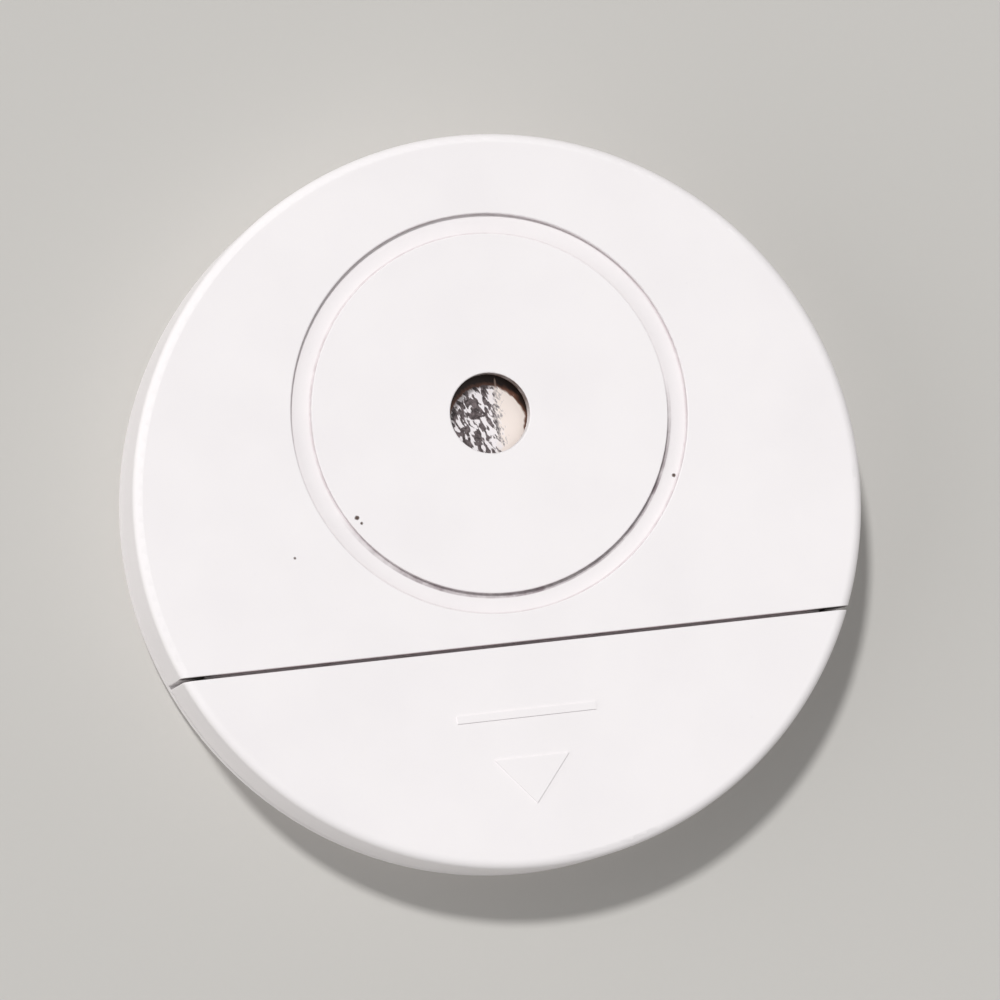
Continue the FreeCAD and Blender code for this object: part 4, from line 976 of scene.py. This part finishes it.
for name, ends in endLook.items():
    chipEnds(name, ends["chips"], ends["deep"] * mm, endSizes["proud"] * mm)
print("coil turns and chip ends made")


# Soldered joints: a cone with a hollowed side round each lead that comes through the board
jointLook = {"foot": 0.85, "tip": 0.3, "tall": 0.42, "hollow": 0.28, "steps": 20, "rows": 6}
leadOut = 1.6  # how far beyond its can a lead goes down, in mm


def joints(name, points):
    look = jointLook
    sizes = {"Foot": look["foot"] * mm, "Tip": look["tip"] * mm, "Tall": look["tall"] * mm}
    tree = Tree(name, Hollow=look["hollow"], **sizes)
    given = tree.given
    feeds = {"Vertices": look["steps"], "Side Segments": look["rows"], "Fill Segments": 1,
             "Radius Top": given["Tip"], "Radius Bottom": given["Foot"], "Depth": given["Tall"]}
    cone = tree.add("GeometryNodeMeshCone", feeds).outputs[0]
    spot = tree.add("GeometryNodeInputPosition", {}).outputs[0]
    share = tree.sums("DIVIDE", tree.split(spot)["Z"], given["Tall"])
    arch = tree.times(share, tree.minus(1.0, share))
    sag = tree.times(arch, tree.times(given["Hollow"], -4.0))  # the arch's own top is a quarter
    sides = tree.stretch(spot, 1, 1, 0)
    pull = tree.add("ShaderNodeVectorMath", {0: sides, "Scale": sag}, operation="SCALE").outputs[0]
    bent = tree.add("GeometryNodeSetPosition", {"Geometry": cone, "Offset": pull}).outputs[0]
    tree.finishWith(tree.add("GeometryNodeSetShadeSmooth", {0: bent}).outputs[0], solder)
    return tree.make(name, points, "housing", "solder")


jointSpots = [middleOf(f"switch_pin_{step}") for step in (1, 2, 3)]
for look in canLook.values():
    along, reach = math.radians(look["angle"]), look["fromMiddle"] * mm
    out = (look["half"] + leadOut) * mm
    for end in look["leads"]:
        x = reach * math.cos(along) - end * out * math.sin(along)
        y = reach * math.sin(along) + end * out * math.cos(along)
        jointSpots.append(Vector((x, y, 0)))
joints("soldered_leads", [((spot.x, spot.y, boardLow.z), downward) for spot in jointSpots])


# Tinned rings round the board's plated holes, top and bottom
holeLook = {
    "radius": 0.42,
    "wide": 0.26,
    "thick": 0.04,
    "steps": 20,
    "spots": [
        (-18.5, -9.0), (-11.0, -9.2), (-7.5, -3.4), (-2.2, -3.6), (1.5, -6.6), (3.8, -9.2), (9.6, -8.9),
        (9.4, -2.6), (12.0, 4.2), (-5.0, 4.3), (-3.6, 9.8), (-12.4, 4.8), (-6.6, 21.4), (4.6, 23.4),
        (14.2, 19.8), (21.8, 3.4),
    ],
}


def platedHoles(name, points):
    look = holeLook
    tree = Tree(name, Radius=look["radius"] * mm, Wide=look["wide"] * mm, Thick=look["thick"] * mm)
    given = tree.given
    ring = tree.sweep(tree.loop(given["Radius"], look["steps"]), tree.oblong(given["Wide"], given["Thick"]))
    tree.finishWith(ring, tinnedEnd)
    return tree.make(name, points, "housing", "solder")


holePoints, proud = [], holeLook["thick"] / 2 * mm
for x, y in holeLook["spots"]:
    holePoints.append(((x * mm, y * mm, boardHigh.z + proud), upward))
    holePoints.append(((x * mm, y * mm, boardLow.z - proud), downward))
platedHoles("plated_holes", holePoints)
print("soldered joints and plated holes made")


# Threads on the self-tapping screws: where they start from the head's end, and how long they are
threadLook = {"radius": 0.9, "ridge": 0.055, "pitch": 0.7, "steps": 20, "ridgeSteps": 3}
threadRuns = {"housing_screws": (1.6, 3.3), "board_screws": (1.0, 1.8)}


def threads(name, node, body, heads, start, long):
    look = threadLook
    radius, ridge = look["radius"] * mm, look["ridge"] * mm
    tree = Tree(name, Radius=radius, Ridge=ridge, Long=long, Turns=long / (look["pitch"] * mm))
    given, centres = tree.given, islandCentres(node)
    helix = tree.helix(given["Turns"], given["Radius"], given["Long"], look["steps"])
    ribbed = tree.sweep(helix, tree.loop(given["Ridge"], look["ridgeSteps"]), True)
    tree.finishWith(ribbed, screwZinc(f"{name}Zinc", centres))
    return tree.make(name, [((spot.x, spot.y, start), heads) for spot in centres], body, "screw_steel")


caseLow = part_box("housing_screws")[0]
start, long = threadRuns["housing_screws"]
threads("housing_screw_threads", "housing_screws", "housing", upward, caseLow.z + start * mm, long * mm)
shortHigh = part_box("board_screws")[1]
start, long = threadRuns["board_screws"]
threads("board_screw_threads", "board_screws", "housing", downward, shortHigh.z - start * mm, long * mm)
print("threads made")


# Floor, light and camera. A lamp's tilt is from straight above, 180 from below.
stageLook = {
    "floor": (0.56, 0.545, 0.52),
    "floorHalf": 3.0,
    "floorShade": 0.985,
    "floorGrain": 0.6,
    "floorRoughness": 0.9,
    "world": 0.36,
    "worldSeen": 0.8,
    "roll": 7.0,
    "leanLeft": 9.8,
    "leanDown": 5.8,
    "lens": 300,
    "share": 0.74,
    "aimBelow": 0.5,
    "clip": (0.05, 20),
}
lampLook = {
    "window": {"strength": 2.0, "soft": 5, "tilt": 26, "turn": 120},
    "windowGlare": {"strength": 0.14, "soft": 36, "tilt": 26, "turn": 120, "glare": True},
    "leftFill": {"strength": 0.85, "soft": 70, "tilt": 72, "turn": 186},
    "underLamp": {"strength": 1.3, "soft": 5, "tilt": 155, "turn": 60},
}


def makeFloor():
    look = stageLook
    mesh = bpy.data.meshes.new("floor")
    half = look["floorHalf"]
    corners = [(-half, -half, 0), (half, -half, 0), (half, half, 0), (-half, half, 0)]
    mesh.from_pydata(corners, [], [(0, 1, 2, 3)])
    floor = bpy.data.objects.new("floor", mesh)
    bpy.context.scene.collection.objects.link(floor)
    finish = Finish("floorPaper", Roughness=look["floorRoughness"])
    grain = finish.noise(finish.place(), look["floorGrain"], 3.0)
    finish.put(Base_Color=finish.mix(grain, look["floor"], shade(look["floor"], look["floorShade"])))
    clear = finish.add("ShaderNodeBsdfTransparent", {}).outputs[0]
    under = finish.add("ShaderNodeNewGeometry", {}).outputs["Backfacing"]
    shadow = finish.add("ShaderNodeLightPath", {}).outputs["Is Shadow Ray"]  # lets the lamp below through
    through = finish.sums("MAXIMUM", under, shadow)
    shown = finish.add("ShaderNodeMixShader", {0: through, 1: finish.shader.outputs[0], 2: clear}).outputs[0]
    finish.feed(finish.tree.nodes["Material Output"].inputs["Surface"], shown)
    mesh.materials.append(finish.material)


def makeWorld():
    look = stageLook
    world = bpy.data.worlds.new("room")
    bpy.context.scene.world = world
    world.use_nodes = True
    room = Nodes(world.node_tree)
    rays = room.add("ShaderNodeLightPath", {}).outputs
    seen = room.sums("MAXIMUM", rays["Is Camera Ray"], rays["Is Glossy Ray"])
    clear = room.sums("MAXIMUM", seen, rays["Is Transmission Ray"])
    feeds = {"Value": clear, "To Min": look["world"], "To Max": look["worldSeen"]}
    background = world.node_tree.nodes["Background"].inputs
    room.feed(background["Color"], (1, 1, 1))
    room.feed(background["Strength"], room.add("ShaderNodeMapRange", feeds).outputs[0])


def makeLamp(name, strength, soft, tilt, turn, glare=False):
    lamp = bpy.data.lights.new(name, "SUN")
    lamp.energy = strength
    lamp.angle = math.radians(soft)
    sun = bpy.data.objects.new(name, lamp)
    sun.visible_glossy, sun.visible_diffuse = glare, not glare
    bpy.context.scene.collection.objects.link(sun)
    tilt, turn = math.radians(tilt), math.radians(turn)
    toLight = Vector((math.sin(tilt) * math.cos(turn), math.sin(tilt) * math.sin(turn), math.cos(tilt)))
    sun.rotation_mode = "QUATERNION"
    sun.rotation_quaternion = toLight.to_track_quat("Z", "Y")


def makeCamera():
    look = stageLook
    data = bpy.data.cameras.new("camera")
    camera = bpy.data.objects.new("camera", data)
    bpy.context.scene.collection.objects.link(camera)
    bpy.context.scene.camera = camera
    data.lens = look["lens"]
    low, high = cadBox
    aim = Vector(((low.x + high.x) / 2, (low.y + high.y) / 2, high.z - look["aimBelow"] * mm))
    wide = (high.x - low.x) / look["share"]
    away = wide * data.lens / data.sensor_width
    roll = math.radians(look["roll"])
    right = Vector((math.cos(roll), -math.sin(roll), 0))
    up = Vector((math.sin(roll), math.cos(roll), 0))
    left, down = (math.tan(math.radians(look[lean])) for lean in ("leanLeft", "leanDown"))
    back = (Vector((0, 0, 1)) - right * left - up * down).normalized()
    right = up.cross(back).normalized()
    up = back.cross(right)
    turned = Matrix((right, up, back)).transposed().to_4x4()
    camera.matrix_world = Matrix.Translation(aim + back * away) @ turned
    data.clip_start, data.clip_end = look["clip"]


makeFloor()
makeWorld()
for name, lamp in lampLook.items():
    makeLamp(name, **lamp)
makeCamera()
bpy.context.scene.view_settings.view_transform = "Standard"
print("stage made")
